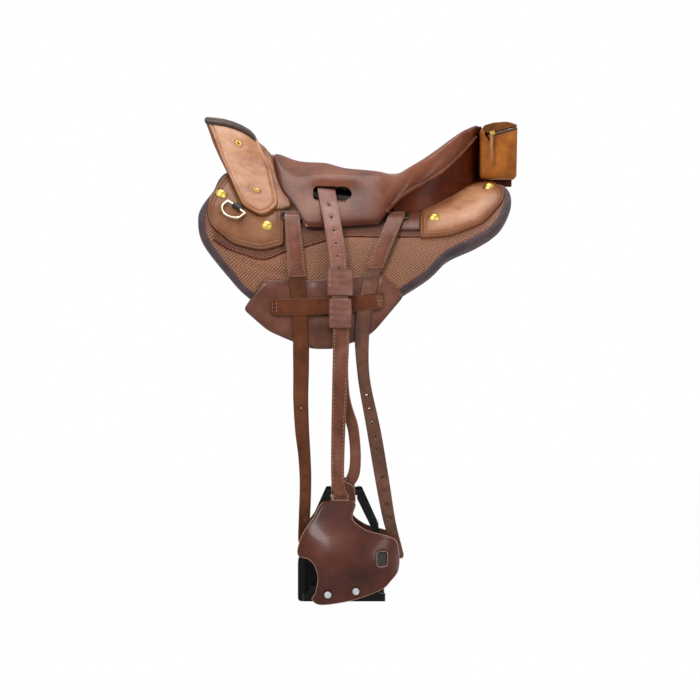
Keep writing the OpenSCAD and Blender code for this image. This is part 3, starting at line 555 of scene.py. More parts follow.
def rounded(corners: Sequence[Sequence[float]], steps: int = 8) -> Arr:
    """Rounds the corners of a closed outline.

    Args:
        corners: Rows of x, z and the corner's radius in millimetres.
        steps: Points to each corner.

    Returns:
        The points of the outline.
    """
    c = np.asarray(corners, float)
    line = []
    for before, here, after in zip(np.roll(c, 1, 0), c, np.roll(c, -1, 0)):
        p = here[:2]
        u, v = before[:2] - p, after[:2] - p
        u, v = u / np.linalg.norm(u), v / np.linalg.norm(v)
        half = math.acos(np.clip(u @ v, -1, 1)) / 2
        mid = p + (u + v) / np.linalg.norm(u + v) * here[2] / math.sin(half)
        s, e = p + u * here[2] / math.tan(half) - mid, p + v * here[2] / math.tan(half) - mid
        start = math.atan2(s[1], s[0])
        turn = (math.atan2(e[1], e[0]) - start + 5 * math.pi) % (2 * math.pi) - math.pi
        at = start + turn * np.linspace(0, 1, steps + 1)
        line.append(mid + here[2] * np.column_stack([np.cos(at), np.sin(at)]))
    return np.vstack(line)


def even(line: Arr, step: float, closed: bool = True) -> Arr:
    """Respaces a line of points so that they stand about one step apart.

    Args:
        line: Points of the line.
        step: Distance between points.
        closed: Whether the line comes back to its start.

    Returns:
        The evenly spaced points.
    """
    path = np.vstack([line, line[:1]]) if closed else np.asarray(line, float)
    run = lengths(path)
    count = max(int(round(run[-1] / step)), 4)
    at = np.linspace(0, run[-1], count + 1)[: count if closed else count + 1]
    return points_at(path, run, at)


def inside(points: Arr, line: Arr) -> Arr:
    """Tells which points lie inside a closed outline.

    Args:
        points: Rows of x and y.
        line: Closed outline.

    Returns:
        True for each point that lies inside.
    """
    hit = np.zeros(len(points), bool)
    x, y = points[:, 0], points[:, 1]
    for (ax, ay), (bx, by) in zip(line, np.roll(line, -1, 0)):
        span = (ay > y) != (by > y)
        hit ^= span & (x < (bx - ax) * (y - ay) / (by - ay if by != ay else TINY) + ax)
    return hit


def inset(line: Arr, depth: float) -> Arr:
    """Returns the points of a closed outline moved inwards by a depth, left out where they would cross.

    Args:
        line: Closed outline.
        depth: How far in.

    Returns:
        The moved points that keep that distance.
    """
    ahead = unit(np.roll(line, -1, 0) - np.roll(line, 1, 0))
    area = np.sum(line[:, 0] * np.roll(line[:, 1], -1) - np.roll(line[:, 0], -1) * line[:, 1])
    moved = line + math.copysign(depth, area) * np.column_stack([-ahead[:, 1], ahead[:, 0]])
    return moved[distance_to(moved, line) > abs(depth) * 0.93]


def cut_sheet(name: str, outline: Arr, top: Lay, under: Lay, step: float,
              rings: Sequence[float] = (0.7, 1.8, 4.0), holes: Sequence[Arr] = ()) -> Obj:
    """Cuts a flat outline, lays it on a form and gives it its thickness as one closed piece.

    Args:
        name: The piece's name.
        outline: Closed outline on the flat, in millimetres.
        top: Takes the flat x, flat y and edge distance of points, and returns their places on the outer face.
        under: The same for the inner face.
        step: Distance between points inside the outline.
        rings: Depths of the rows of points along the edge, which the rounding of the edge needs.
        holes: Closed outlines that are cut through.

    Returns:
        The piece, with its edge distance as an attribute and the flat places as its UV map.
    """
    edge = even(outline, min(step, 4.0))
    lines = [edge] + [np.asarray(h) for h in holes]
    far = np.concatenate([inset(edge, d) for d in rings])
    low, high = edge.min(0), edge.max(0)
    xs, ys = np.meshgrid(np.arange(low[0], high[0], step), np.arange(low[1], high[1], step))
    xs = xs + (np.arange(len(ys)) % 2)[:, None] * step / 2
    mid = np.column_stack([xs.ravel(), ys.ravel()])
    mid = mid[inside(mid, edge)]
    mid = mid[distance_to(mid, edge) > max(rings) + 0.5 * step]
    loose = np.vstack([far, mid])
    for hole in holes:
        clear = distance_to(loose, hole)
        loose = loose[~inside(loose, hole) & (clear > 1.2)]
    points, links, base = [], [], 0
    for line in lines:
        points.append(line)
        links += [(base + k, base + (k + 1) % len(line)) for k in range(len(line))]
        base += len(line)
    flat = np.vstack(points + [loose])
    verts, _, faces, *_ = delaunay_2d_cdt([Vector(p) for p in flat.tolist()], links, [], 0, 1e-4)
    flat = np.array([[v.x, v.y] for v in verts])
    tris = np.array([f for f in faces if len(f) == 3])
    mids = flat[tris].mean(1)
    keep = inside(mids, edge)
    for hole in holes:
        keep &= ~inside(mids, np.asarray(hole))
    tris = tris[keep]
    used, back = np.unique(tris, return_inverse=True)
    flat, tris = flat[used], back.reshape(-1, 3)
    depth = distance_to(flat, edge)
    for hole in holes:
        depth = np.minimum(depth, distance_to(flat, np.asarray(hole)))
    n = len(flat)
    sides = dict.fromkeys(pair for tri in tris.tolist() for pair in zip(tri, tri[1:] + tri[:1]))
    walls = [(b, a, a + n, b + n) for a, b in sides if (b, a) not in sides]
    cells = [tuple(t) for t in tris.tolist()] + [tuple(int(k) + n for k in t[::-1]) for t in tris.tolist()] + walls
    obj = solid(name, np.vstack([face(flat[:, 0], flat[:, 1], depth) for face in (top, under)]), cells)
    mark(obj, "edge", np.concatenate([depth, depth]))
    layer = obj.data.uv_layers.new(name="flat")
    spots = np.empty(len(obj.data.loops), int)
    obj.data.loops.foreach_get("vertex_index", spots)
    layer.data.foreach_set("uv", (np.vstack([flat, flat])[spots] * MM).ravel())
    outward(obj)
    return obj


def rounding(depth: Arr, radius: float) -> Arr:
    """Returns how far a rounded edge lies below the face at distances from the edge."""
    k = 1 - np.clip(depth / radius, 0, 1)
    return radius * (1 - np.sqrt(np.maximum(1 - k * k, 0)))


def ridge(d: Arr, at: float, width: float) -> Arr:
    """Returns the height of a smooth ridge, one high, that lies at a distance and has a width."""
    return np.exp(-(((d - at) / width) ** 2))


def ease(k: Arr) -> Arr:
    """Returns shares from 0 to 1 that start and end gently."""
    k = np.clip(k, 0, 1)
    return k * k * (3 - 2 * k)


def level_face(x: Arr, y: Arr, d: Arr) -> Arr:
    """Returns no relief at all."""
    return np.zeros_like(d)


def tooled(lines: Sequence[Pair3], soft: float) -> Lay:
    """Returns the relief of a rounded edge with lines, each of a height, a distance from the edge and a width."""
    return lambda x, y, d: sum(high * ridge(d, at, width) for high, at, width in lines) - rounding(d, soft)


def dip_along(points: Arr, line: Arr, width: float, deep: float) -> Arr:
    """Returns the depth of a groove along an open line at points on the flat."""
    return deep * ridge(distance_to(points, line, closed=False), 0.0, width)


def ring_of_points(x: float, z: float, radius: float, count: int = 12) -> Arr:
    """Returns points round a punched hole."""
    t = np.linspace(0, 2 * np.pi, count, endpoint=False)
    return np.column_stack([x + radius * np.cos(t), z + radius * np.sin(t)])


def oblong(x: Pair, z: Pair, radius: float, steps: int = 8) -> Arr:
    """Returns a rectangle with rounded corners between two places along the saddle and two heights."""
    return rounded([(x[0], z[0], radius), (x[1], z[0], radius), (x[1], z[1], radius), (x[0], z[1], radius)], steps)


def upright(y: float, sign: float, soft: float = 0.8) -> Lay:
    """Returns an upright face at a Y, with its edge rounded off to the side that the sign gives."""
    return lambda x, z, d: np.column_stack([x, y + sign * rounding(d, soft), z])


def whole(obj: Obj, depth: float = 30.0) -> Obj:
    """Marks a piece as lying all over at one depth from its edge, so that no raw edge shows, and returns it."""
    mark(obj, "edge", np.full(len(obj.data.vertices), depth))
    return obj


def flank_sheet(name: str, flat: Arr, r: float, rise: Lay, sink: Lay, step: float, rings: Sequence[float],
                holes: Sequence[Arr] = (), drop: float = 0.0, move: Callable[[Arr], Arr] | None = None) -> Obj:
    """Cuts one layer on the flat and lays it on the near flank.

    Args:
        name: The piece's name.
        flat: Its closed outline on the flat.
        r: Radius that was unrolled.
        rise: How far outside that radius the outer face lies.
        sink: The same for the inner face.
        step: Distance between points inside the outline.
        rings: Depths of the rows of points along the edge.
        holes: Outlines on the flat that are cut through.
        drop: How much flatter than the back the layer lies.
        move: What is done to the points once they are laid.

    Returns:
        The layer, shaded smooth.
    """
    def face(lift: Lay) -> Lay:
        """Returns the face that a lift gives."""
        def place(x: Arr, y: Arr, d: Arr) -> Arr:
            """Returns where points of the flat lie."""
            points = BACK.laid(x, y, r, lift(x, y, d), drop)
            return move(points) if move else points
        return place

    obj = cut_sheet(name, flat, face(rise), face(sink), step, rings, holes)
    smooth(obj, SHADE_ANGLE)
    return obj


def stitches(name: str, path: Arr, out: Arr, length: float = 4.2, gap: float = 2.6,
             thick: float = 0.55) -> Obj:
    """Sews a row of stitches along a path, drawn a little thicker than life so that they show.

    Args:
        name: The piece's name.
        path: Points along the row in millimetres.
        out: Outward directions at these points.
        length: Length of a stitch.
        gap: Space between stitches.
        thick: Radius of the thread.

    Returns:
        One piece that holds all the stitches.
    """
    run = lengths(path)
    sides = 6
    turn = np.linspace(0, 2 * np.pi, sides, endpoint=False)
    rows = ((0.0, 0.35, -0.5), (0.2, 1.0, 0.35), (0.8, 1.0, 0.35), (1.0, 0.35, -0.5))
    points, faces = [], []
    for s in np.arange(0, run[-1] - length, length + gap):
        a, b = points_at(path, run, np.array([s, s + length]))
        n = points_at(out, run, np.array([s]))[0]
        n /= np.linalg.norm(n)
        w = np.cross((b - a) / max(np.linalg.norm(b - a), TINY), n)
        base = len(points)
        for at, size, lift in rows:
            c = a + (b - a) * at + n * thick * lift
            points += [c + thick * size * (math.cos(t) * w + math.sin(t) * n) for t in turn]
        for first in range(base, base + sides * (len(rows) - 1), sides):
            faces += [(first + k, first + j, first + sides + j, first + sides + k)
                      for k, j in ((k, (k + 1) % sides) for k in range(sides))]
        last = base + sides * (len(rows) - 1)
        faces += [tuple(range(base + sides - 1, base - 1, -1)), tuple(range(last, last + sides))]
    obj = solid(name, np.array(points), faces)
    outward(obj)
    smooth(obj, ROUND_ANGLE)
    return obj


# ---- finishes


def colour(code: str) -> tuple[float, float, float, float]:
    """Turns a hex sRGB colour into Blender's linear colour.

    Args:
        code: The colour, as # and six hex digits.

    Returns:
        Red, green, blue and alpha.
    """
    parts = [int(code[k : k + 2], 16) / 255 for k in (1, 3, 5)]
    r, g, b = (v / 12.92 if v <= 0.04045 else ((v + 0.055) / 1.055) ** 2.4 for v in parts)
    return (r, g, b, 1.0)


def feed(tree: Tree, node: Node, **links: object) -> Node:
    """Sets or links a node's inputs.

    Args:
        tree: The material's node tree.
        node: The node.
        **links: Input names, with _ for a space, or i and an index, to a value or to a socket.

    Returns:
        The same node.
    """
    for key, value in links.items():
        plug = node.inputs[int(key[1:]) if key[0] == "i" and key[1:].isdigit() else key.replace("_", " ")]
        if isinstance(value, Socket):
            tree.links.new(value, plug)
        else:
            plug.default_value = value
    return node


def add(tree: Tree, kind: str, settings: dict | None = None, **links: object) -> Node:
    """Adds a node with its settings and what feeds its inputs.

    Args:
        tree: The material's node tree.
        kind: The node's type without its ShaderNode prefix.
        settings: Properties of the node.
        **links: What feeds its inputs.

    Returns:
        The new node.
    """
    node = tree.nodes.new("ShaderNode" + kind)
    for key, value in (settings or {}).items():
        setattr(node, key, value)
    return feed(tree, node, **links)


def ramp(tree: Tree, share: Socket, stops: Sequence[tuple[float, str]]) -> Socket:
    """Adds a colour ramp.

    Args:
        tree: The material's node tree.
        share: What the ramp reads.
        stops: Places from 0 to 1 and their hex colours.

    Returns:
        The ramp's colour socket.
    """
    node = add(tree, "ValToRGB", Fac=share)
    marks = node.color_ramp.elements
    while len(marks) < len(stops):
        marks.new(0.5)
    for stop, (at, code) in zip(marks, stops):
        stop.position, stop.color = at, colour(code)
    return node.outputs["Color"]


def mix(tree: Tree, share: object, a: object, b: object, how: str = "MIX") -> Socket:
    """Mixes two colours and returns the socket of the result."""
    return add(tree, "Mix", {"data_type": "RGBA", "blend_type": how}, i0=share, i6=a, i7=b).outputs[2]


def noise(tree: Tree, place: Socket, mm: float, detail: float, rough: float = 0.5) -> Socket:
    """Adds noise of a size and returns the socket of its value."""
    return add(tree, "TexNoise", Vector=place, Scale=1 / (mm * MM), Detail=detail, Roughness=rough).outputs["Fac"]


def spread(tree: Tree, share: Socket, read: Pair, give: Pair) -> Socket:
    """Maps one range of values to another and returns the socket of the result."""
    return add(tree, "MapRange", i0=share, i1=read[0], i2=read[1], i3=give[0], i4=give[1]).outputs[0]


def relief(tree: Tree, strength: float, mm: float, height: Socket, **under: Socket) -> Socket:
    """Adds a bump of a depth, over another one if there is any, and returns the socket of its normal."""
    return add(tree, "Bump", Strength=strength, Distance=mm * MM, Height=height, **under).outputs["Normal"]


def new_material(name: str, coordinates: str = "Object") -> tuple[Mat, Tree, Node, Socket]:
    """Makes a material and returns it with its tree, its shader and the coordinates that its textures read.

    Args:
        name: The material's name.
        coordinates: Which texture coordinates are read.

    Returns:
        The material, its tree, its shader and the coordinates' socket.
    """
    mat = bpy.data.materials.new(name)
    mat.use_nodes = True
    tree = mat.node_tree
    return mat, tree, tree.nodes["Principled BSDF"], add(tree, "TexCoord").outputs[coordinates]


@dataclass(frozen=True)
class Leather:
    """Vegetable-tanned cowhide, dyed, waxed and burnished: fine pores, drifts of dye, a waxy shine, and painted shade
    that darkens it along its edges.

    Attributes:
        name: The material's name.
        body: Main dye.
        deep: Dye in the darker drifts, and the colour of the painted shade along the edges.
        pale: Dye where the hide is rubbed.
        edge: Colour of the raw or burnished edge.
        edge_mm: How wide the edge shows.
        gloss: Roughness of the wax.
        coat: Weight of the lacquer over the dye.
        pore_mm: Distance between pores.
        relief: Strength of the pores.
        drift_mm: Size of the drifts of dye.
        crease: Strength of the broad folds, over what any hide has.
        shine: Strength of the dyed surface's own reflection.
        shade: How far in from the edge painted shade darkens the dye towards deep, and by how much.
    """

    name: str
    body: str
    deep: str
    pale: str
    edge: str
    edge_mm: float = 1.2
    gloss: float = 0.42
    coat: float = 0.1
    pore_mm: float = 1.6
    relief: float = 0.18
    drift_mm: float = 45.0
    crease: float = 0.0
    shine: float = 0.12
    shade: Pair = (14.0, 0.35)

    def make(self) -> Mat:
        """Returns the finished material."""
        mat, tree, shader, place = new_material(self.name)
        drift = noise(tree, place, self.drift_mm, 5.0, 0.6)
        fine = noise(tree, place, 9.0, 3.0, 0.6)
        pores = add(tree, "TexVoronoi", {"feature": "F1"}, Vector=place, Scale=1 / (self.pore_mm * MM))
        dye = ramp(tree, drift, [(0.3, self.deep), (0.5, self.body), (0.72, self.pale)])
        dye = mix(tree, 0.22, dye, ramp(tree, fine, [(0.35, self.deep), (0.65, self.pale)]), "OVERLAY")
        rim = add(tree, "Attribute", {"attribute_name": "edge"}).outputs["Fac"]
        near = spread(tree, rim, (self.edge_mm * 0.6, self.edge_mm), (1.0, 0.0))
        # Painted shade: within shade[0] millimetres of the edge the dye darkens towards deep.
        dye = mix(tree, spread(tree, rim, (0.0, self.shade[0]), (self.shade[1], 0.0)), dye, colour(self.deep))
        dye = mix(tree, near, dye, colour(self.edge))
        wax = spread(tree, fine, (0.3, 0.7), (self.gloss - 0.07, self.gloss + 0.1))
        grain = relief(tree, self.relief, 0.25, pores.outputs["Distance"])
        hide = relief(tree, 0.25 + self.crease, 1.2, noise(tree, place, 26.0, 2.0), Normal=grain)
        feed(tree, shader, Base_Color=dye, Roughness=wax, IOR=1.5, Specular_IOR_Level=self.shine,
             Coat_Weight=self.coat, Coat_Roughness=0.17, Normal=hide)
        return mat


@dataclass(frozen=True)
class MeshCloth:
    """Spacer mesh: a knitted brown face with rows of open cells through which a paler filling shows, and painted shade
    in bands that the piece marks.
    """

    name: str = "knitted_spacer_mesh"
    yarn: str = "#97664a"
    cell: str = "#cd9b75"
    shade: str = "#5b3829"
    dim: str = "#c4b3ab"
    cell_mm: float = 4.2
    slant: float = 38.0

    def make(self) -> Mat:
        """Returns the finished material; its cells are drawn a little coarser than life so that they show."""
        mat, tree, shader, place = new_material(self.name, "UV")
        turned = add(tree, "Mapping", Vector=place, Rotation=(0.0, 0.0, math.radians(self.slant))).outputs[0]
        scale = 1 / (self.cell_mm * MM)
        net = add(tree, "TexVoronoi", {"feature": "F1", "distance": "CHEBYCHEV", "voronoi_dimensions": "2D"},
                  Vector=turned, Scale=scale, Randomness=0.12).outputs["Distance"]
        yarns = add(tree, "TexWave", {"wave_type": "BANDS", "bands_direction": "X"}, Vector=turned, Scale=scale,
                    Distortion=0.6, Detail=1.0).outputs["Color"]
        drift = noise(tree, place, 70.0, 4.0)
        base = ramp(tree, net, [(0.08, self.cell), (0.24, self.yarn), (0.46, self.shade)])
        base = mix(tree, 0.3, base, ramp(tree, drift, [(0.35, self.shade), (0.65, self.cell)]), "SOFT_LIGHT")
        base = mix(tree, 0.1, base, yarns, "OVERLAY")
        # Painted shade: the marked bands, under the leather above the seams, are multiplied by a dim tint.
        band = add(tree, "Attribute", {"attribute_name": "band"}).outputs["Fac"]
        base = mix(tree, band, base, mix(tree, 1.0, base, colour(self.dim), "MULTIPLY"))
        feed(tree, shader, Base_Color=base, Roughness=0.85, Sheen_Weight=0.25, Normal=relief(tree, 0.6, 0.8, net))
        return mat


@dataclass(frozen=True)
class Cloth:
    """Woven tape or felt: crossing threads, no shine, a soft fuzz at grazing angles."""

    name: str
    body: str
    deep: str
    thread_mm: float = 0.9
    rough: float = 0.9
    relief: float = 0.5

    def make(self) -> Mat:
        """Returns the finished material."""
        mat, tree, shader, place = new_material(self.name)
        warp, weft = (add(tree, "TexWave", {"wave_type": "BANDS", "bands_direction": axis}, Vector=place,
                          Scale=1 / (self.thread_mm * MM * 3.14), Distortion=1.0).outputs["Fac"] for axis in "XZ")
        weave = add(tree, "Math", {"operation": "MULTIPLY"}, i0=warp, i1=weft).outputs[0]
        base = ramp(tree, noise(tree, place, 25.0, 4.0), [(0.3, self.deep), (0.7, self.body)])
        base = mix(tree, weave, mix(tree, 0.4, base, colour(self.deep)), base)
        lift = relief(tree, self.relief, 0.3, weave)
        feed(tree, shader, Base_Color=base, Roughness=self.rough, Sheen_Weight=0.2, Normal=lift)
        return mat


@dataclass(frozen=True)
class Metal:
    """Cast and polished or brushed metal: tight reflections, faint rubbing marks, dull spots."""

    name: str
    body: str
    tarnish: str
    rough: float = 0.22
    mark_mm: float = 6.0

    def make(self) -> Mat:
        """Returns the finished material."""
        mat, tree, shader, place = new_material(self.name)
        spots = noise(tree, place, self.mark_mm, 6.0, 0.7)
        feed(tree, shader, Base_Color=ramp(tree, spots, [(0.3, self.tarnish), (0.55, self.body)]), Metallic=1.0,
             Roughness=spread(tree, spots, (0.3, 0.7), (self.rough + 0.12, self.rough)),
             Normal=relief(tree, 0.06, 0.1, spots))
        return mat


@dataclass(frozen=True)
class Moulded:
    """Moulded nylon, rubber or painted wood: one colour with a slight cloudiness and moulding texture."""

    name: str
    body: str
    deep: str
    rough: float = 0.3
    grit_mm: float = 1.0
    relief: float = 0.05
    coat: float = 0.0
    shine: float = 0.5

    def make(self) -> Mat:
        """Returns the finished material."""
        mat, tree, shader, place = new_material(self.name)
        cloud = noise(tree, place, 18.0, 4.0)
        feed(tree, shader, Base_Color=ramp(tree, cloud, [(0.35, self.deep), (0.65, self.body)]),
             Roughness=spread(tree, cloud, (0.3, 0.7), (self.rough - 0.04, self.rough + 0.08)),
             Coat_Weight=self.coat, Specular_IOR_Level=self.shine,
             Normal=relief(tree, self.relief, 0.2, noise(tree, place, self.grit_mm, 2.0)))
        return mat


def hide(name: str, dyes: str, **how: float | Pair) -> Mat:
    """Makes a leather from its main, deep, pale and edge dye."""
    return Leather(name, *dyes.split(), **how).make()


class Finish:
    """The finishes of the saddle, each made once."""

    def __init__(self) -> None:
        """Makes every material."""
        strap = {"edge_mm": 1.0, "coat": 0.08, "pore_mm": 1.4, "relief": 0.15}
        # shade= sets each leather's painted shade along its edges: the seat's is wide and strong, for its dark edges
        # and flap bottom, and the tan's darkens the jockeys' edges fully to deep.
        self.seat = hide("waxed_seat_cowhide", "#7d4730 #42190c #956048 #a67852", edge_mm=1.6, gloss=0.4, coat=0.13,
                         pore_mm=1.3, relief=0.06, drift_mm=110.0, shine=0.08, shade=(36.0, 0.9))
        self.tan = hide("tan_skirting_leather", "#b98660 #6d3812 #c79a78 #7a4a2a", drift_mm=75.0, shade=(34.0, 1.0))
        # A darker copy of the tan skirting leather, for the front jockey, with narrower and weaker edge shade.
        self.worn_tan = hide("darkened_skirting_leather", "#8d6044 #653817 #a87a5c #5f3820", drift_mm=75.0,
                             shade=(30.0, 0.6))
        self.patch = hide("pinkish_tan_skirting_leather", "#b88763 #8a552d #caa184 #7d4d30", edge_mm=1.6, gloss=0.4,
                          coat=0.12, relief=0.16, drift_mm=60.0)
        self.dark = hide("red_brown_bridle_leather", "#5a2410 #3c1609 #6c3018 #3a180b", edge_mm=1.0, gloss=0.38,
                         coat=0.04, pore_mm=1.4, relief=0.08, drift_mm=60.0, shine=0.06)
        self.rim = hide("grey_brown_rawhide_binding", "#4b3a2e #2d211a #665344 #3a2c22", edge_mm=1.0, gloss=0.5,
                        pore_mm=1.4, relief=0.2, drift_mm=30.0)
        self.strap = hide("chestnut_bridle_leather", "#7b4b3c #5a3425 #8e6152 #9d745a", **strap)
        # A paler, pinker copy of the chestnut strap leather: its colour paints the highlight on the stirrup leather's
        # upper strap.
        self.pale_strap = hide("pinkish_bridle_leather", "#92655a #6f463a #a67c70 #a88672", **strap)
        # The sleeves' leather is also a paler, pinker copy of the chestnut strap leather: painted highlight.
        self.sleeve = hide("pinkish_chestnut_leather", "#82564a #5f392e #9a6f62 #6a4438", edge_mm=1.0, gloss=0.4,
                           coat=0.14, drift_mm=40.0, crease=0.1, shine=0.2)
        self.lobe = hide("padded_chestnut_leather", "#6e4131 #4e2b1e #835645 #4a281c", edge_mm=1.0, coat=0.12,
                         pore_mm=1.8, relief=0.2, drift_mm=50.0, crease=0.1, shine=0.2)
        self.keeper = hide("red_brown_strap_leather", "#68361f #4a2412 #784528 #8a5733", edge_mm=0.8, coat=0.08,
                           pore_mm=1.5, drift_mm=40.0)
        self.billet = hide("latigo_leather", "#6d3d23 #4f2a15 #7e4d2c #5b351d", **strap, drift_mm=50.0)
        self.rear_billet = hide("oiled_latigo_leather", "#6b402b #47281a #96624c #4a2a1a", edge_mm=0.9, gloss=0.26,
                                coat=0.3, pore_mm=1.4, relief=0.12, drift_mm=50.0, crease=0.1, shine=0.25)
        self.hood = hide("oiled_hood_leather", "#592a1e #3e1b12 #6c3a2b #a8826a", edge_mm=1.3, gloss=0.36, coat=0.16,
                         pore_mm=1.5, relief=0.1, drift_mm=80.0, shine=0.14)
        self.bag = hide("ochre_pull_up_leather", "#ae6b2a #82491a #c4823a #7a4517", pore_mm=1.5, crease=0.15)
        self.bag_lid = hide("dark_pull_up_leather", "#7f4c20 #5c3413 #96602c #5c3413", pore_mm=1.5, crease=0.15)
        self.mesh = MeshCloth().make()
        self.binding = Cloth("plum_binding_tape", "#574044", "#322327", 0.8).make()
        self.felt = Cloth("wool_felt_panel", "#5b5148", "#3d352e", 1.6, 0.95, 0.6).make()
        self.webbing = Cloth("black_nylon_webbing", "#26221f", "#121010", 1.1, 0.7).make()
        self.tape = Cloth("brown_zip_tape", "#5a3a22", "#3a2413", 0.7).make()
        self.thread = Cloth("waxed_pale_thread", "#bb9c82", "#98775c", 0.4, 0.7).make()
        self.dark_thread = Cloth("waxed_brown_thread", "#8a6248", "#64412c", 0.4, 0.7).make()
        self.brass = Metal("worn_brass", "#cdb160", "#9c7c36", 0.34).make()
        self.champagne = Metal("nickel_brass_wire", "#d8cdb4", "#a5967a", 0.24).make()
        self.steel = Metal("bright_nickel_steel", "#cfd0d2", "#8e9094", 0.22).make()
        self.nylon = Moulded("black_gloss_nylon", "#0d0c0c", "#070606", 0.3, 1.0, 0.03, 0.06, 0.1).make()
        self.rubber = Moulded("ribbed_black_rubber", "#2a2928", "#1b1a1a", 0.75, 0.8, 0.25).make()
        self.wood = Moulded("dark_stained_beech", "#3d2a1c", "#2a1c12", 0.4, 2.0, 0.1, 0.2).make()
        self.paint = Moulded("black_enamelled_steel", "#211f1e", "#151413", 0.4, 1.0, 0.05).make()


def dress(obj: Obj, material: Mat) -> Obj:
    """Gives a piece its only material and returns it.

    Args:
        obj: The piece.
        material: Its material.

    Returns:
        The same piece.
    """
    obj.data.materials.clear()
    obj.data.materials.append(material)
    return obj


def fitted(obj: Obj, side: Side, material: Mat) -> Obj:
    """Puts a near-side piece on its own side, gives it its material and returns it."""
    return dress(across(obj, side), material)


def layer(word: str, side: Side, edge: Arr, r: Pair, look: Mat, rise: Lay, soft: float, sink: float, step: float,
          rings: Sequence[float], holes: Sequence[Arr] = ()) -> Obj:
    """Cuts one layer and lays it on the flank.

    Args:
        word: The piece's name without its side.
        side: The side that it belongs on.
        edge: Closed outline seen from the side.
        r: Inner and outer radius of the layer.
        look: Its material.
        rise: How far the outer face stands above its radius.
        soft: Radius of the outer edge's rounding.
        sink: How much of that the inner edge is rounded.
        step: Distance between points.
        rings: Depths of the rows of points along the edge.
        holes: Outlines that are cut through, seen from the side.

    Returns:
        The layer on its own side.
    """
    obj = flank_sheet(f"{word}_{side.tag}", BACK.flat(edge, r[1]), r[1],
                      lambda x, y, d: rise(x, y, d) - rounding(d, soft),
                      lambda x, y, d: r[0] - r[1] + rounding(d, min(soft, 0.8)) * sink, step, rings,
                      [BACK.flat(hole, r[1]) for hole in holes])
    return fitted(obj, side, look)


# ---- the layers on the flanks


@dataclass
class Piece:
    """A finished piece with the body that it rides on and the CAD nodes that it stands for.

    Attributes:
        obj: The piece.
        body: The body that it rides on.
        nodes: The CAD nodes that it stands for.
        padded: How full it is, if it is padded.
        bend: The two bodies that it bends between, and where the bend starts and ends.
    """

    obj: Obj
    body: str
    nodes: tuple[str, ...] = ()
    padded: float | None = None
    bend: tuple[str, str, Pair3, Pair3] | None = None

    def place(self) -> None:
        """Tells the frame what the piece rides on and stands for."""
        if self.bend:
            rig.blend(self.obj, self.bend[0], self.bend[1], start=self.bend[2], end=self.bend[3])
        else:
            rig.ride(self.obj, self.body)
        if self.nodes:
            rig.replaces(self.obj, *self.nodes)
        if self.padded is not None:
            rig.padded(self.obj, fill=self.padded)
        log.info("%s on %s", self.obj.name, self.body)


SADDLE = "saddle"


def once(side: Side, node: str) -> tuple[str, ...]:
    """Returns a CAD node that holds both sides, for the left piece alone to stand for."""
    return (node,) if side is Side.LEFT else ()


def sewn_row(name: str, outline: Arr, r: float, lift: float) -> Obj:
    """Sews a row of stitches on the flank along points of the flat.

    Args:
        name: The piece's name.
        outline: Points of the flat along the row.
        r: Radius that was unrolled.
        lift: How far above that radius the thread lies.

    Returns:
        The row.
    """
    row = even(outline, 3.0, closed=False)
    path = BACK.laid(row[:, 0], row[:, 1], r, np.full(len(row), lift))
    return stitches(name, path, BACK.normal(path[:, 0], path[:, 2], r))


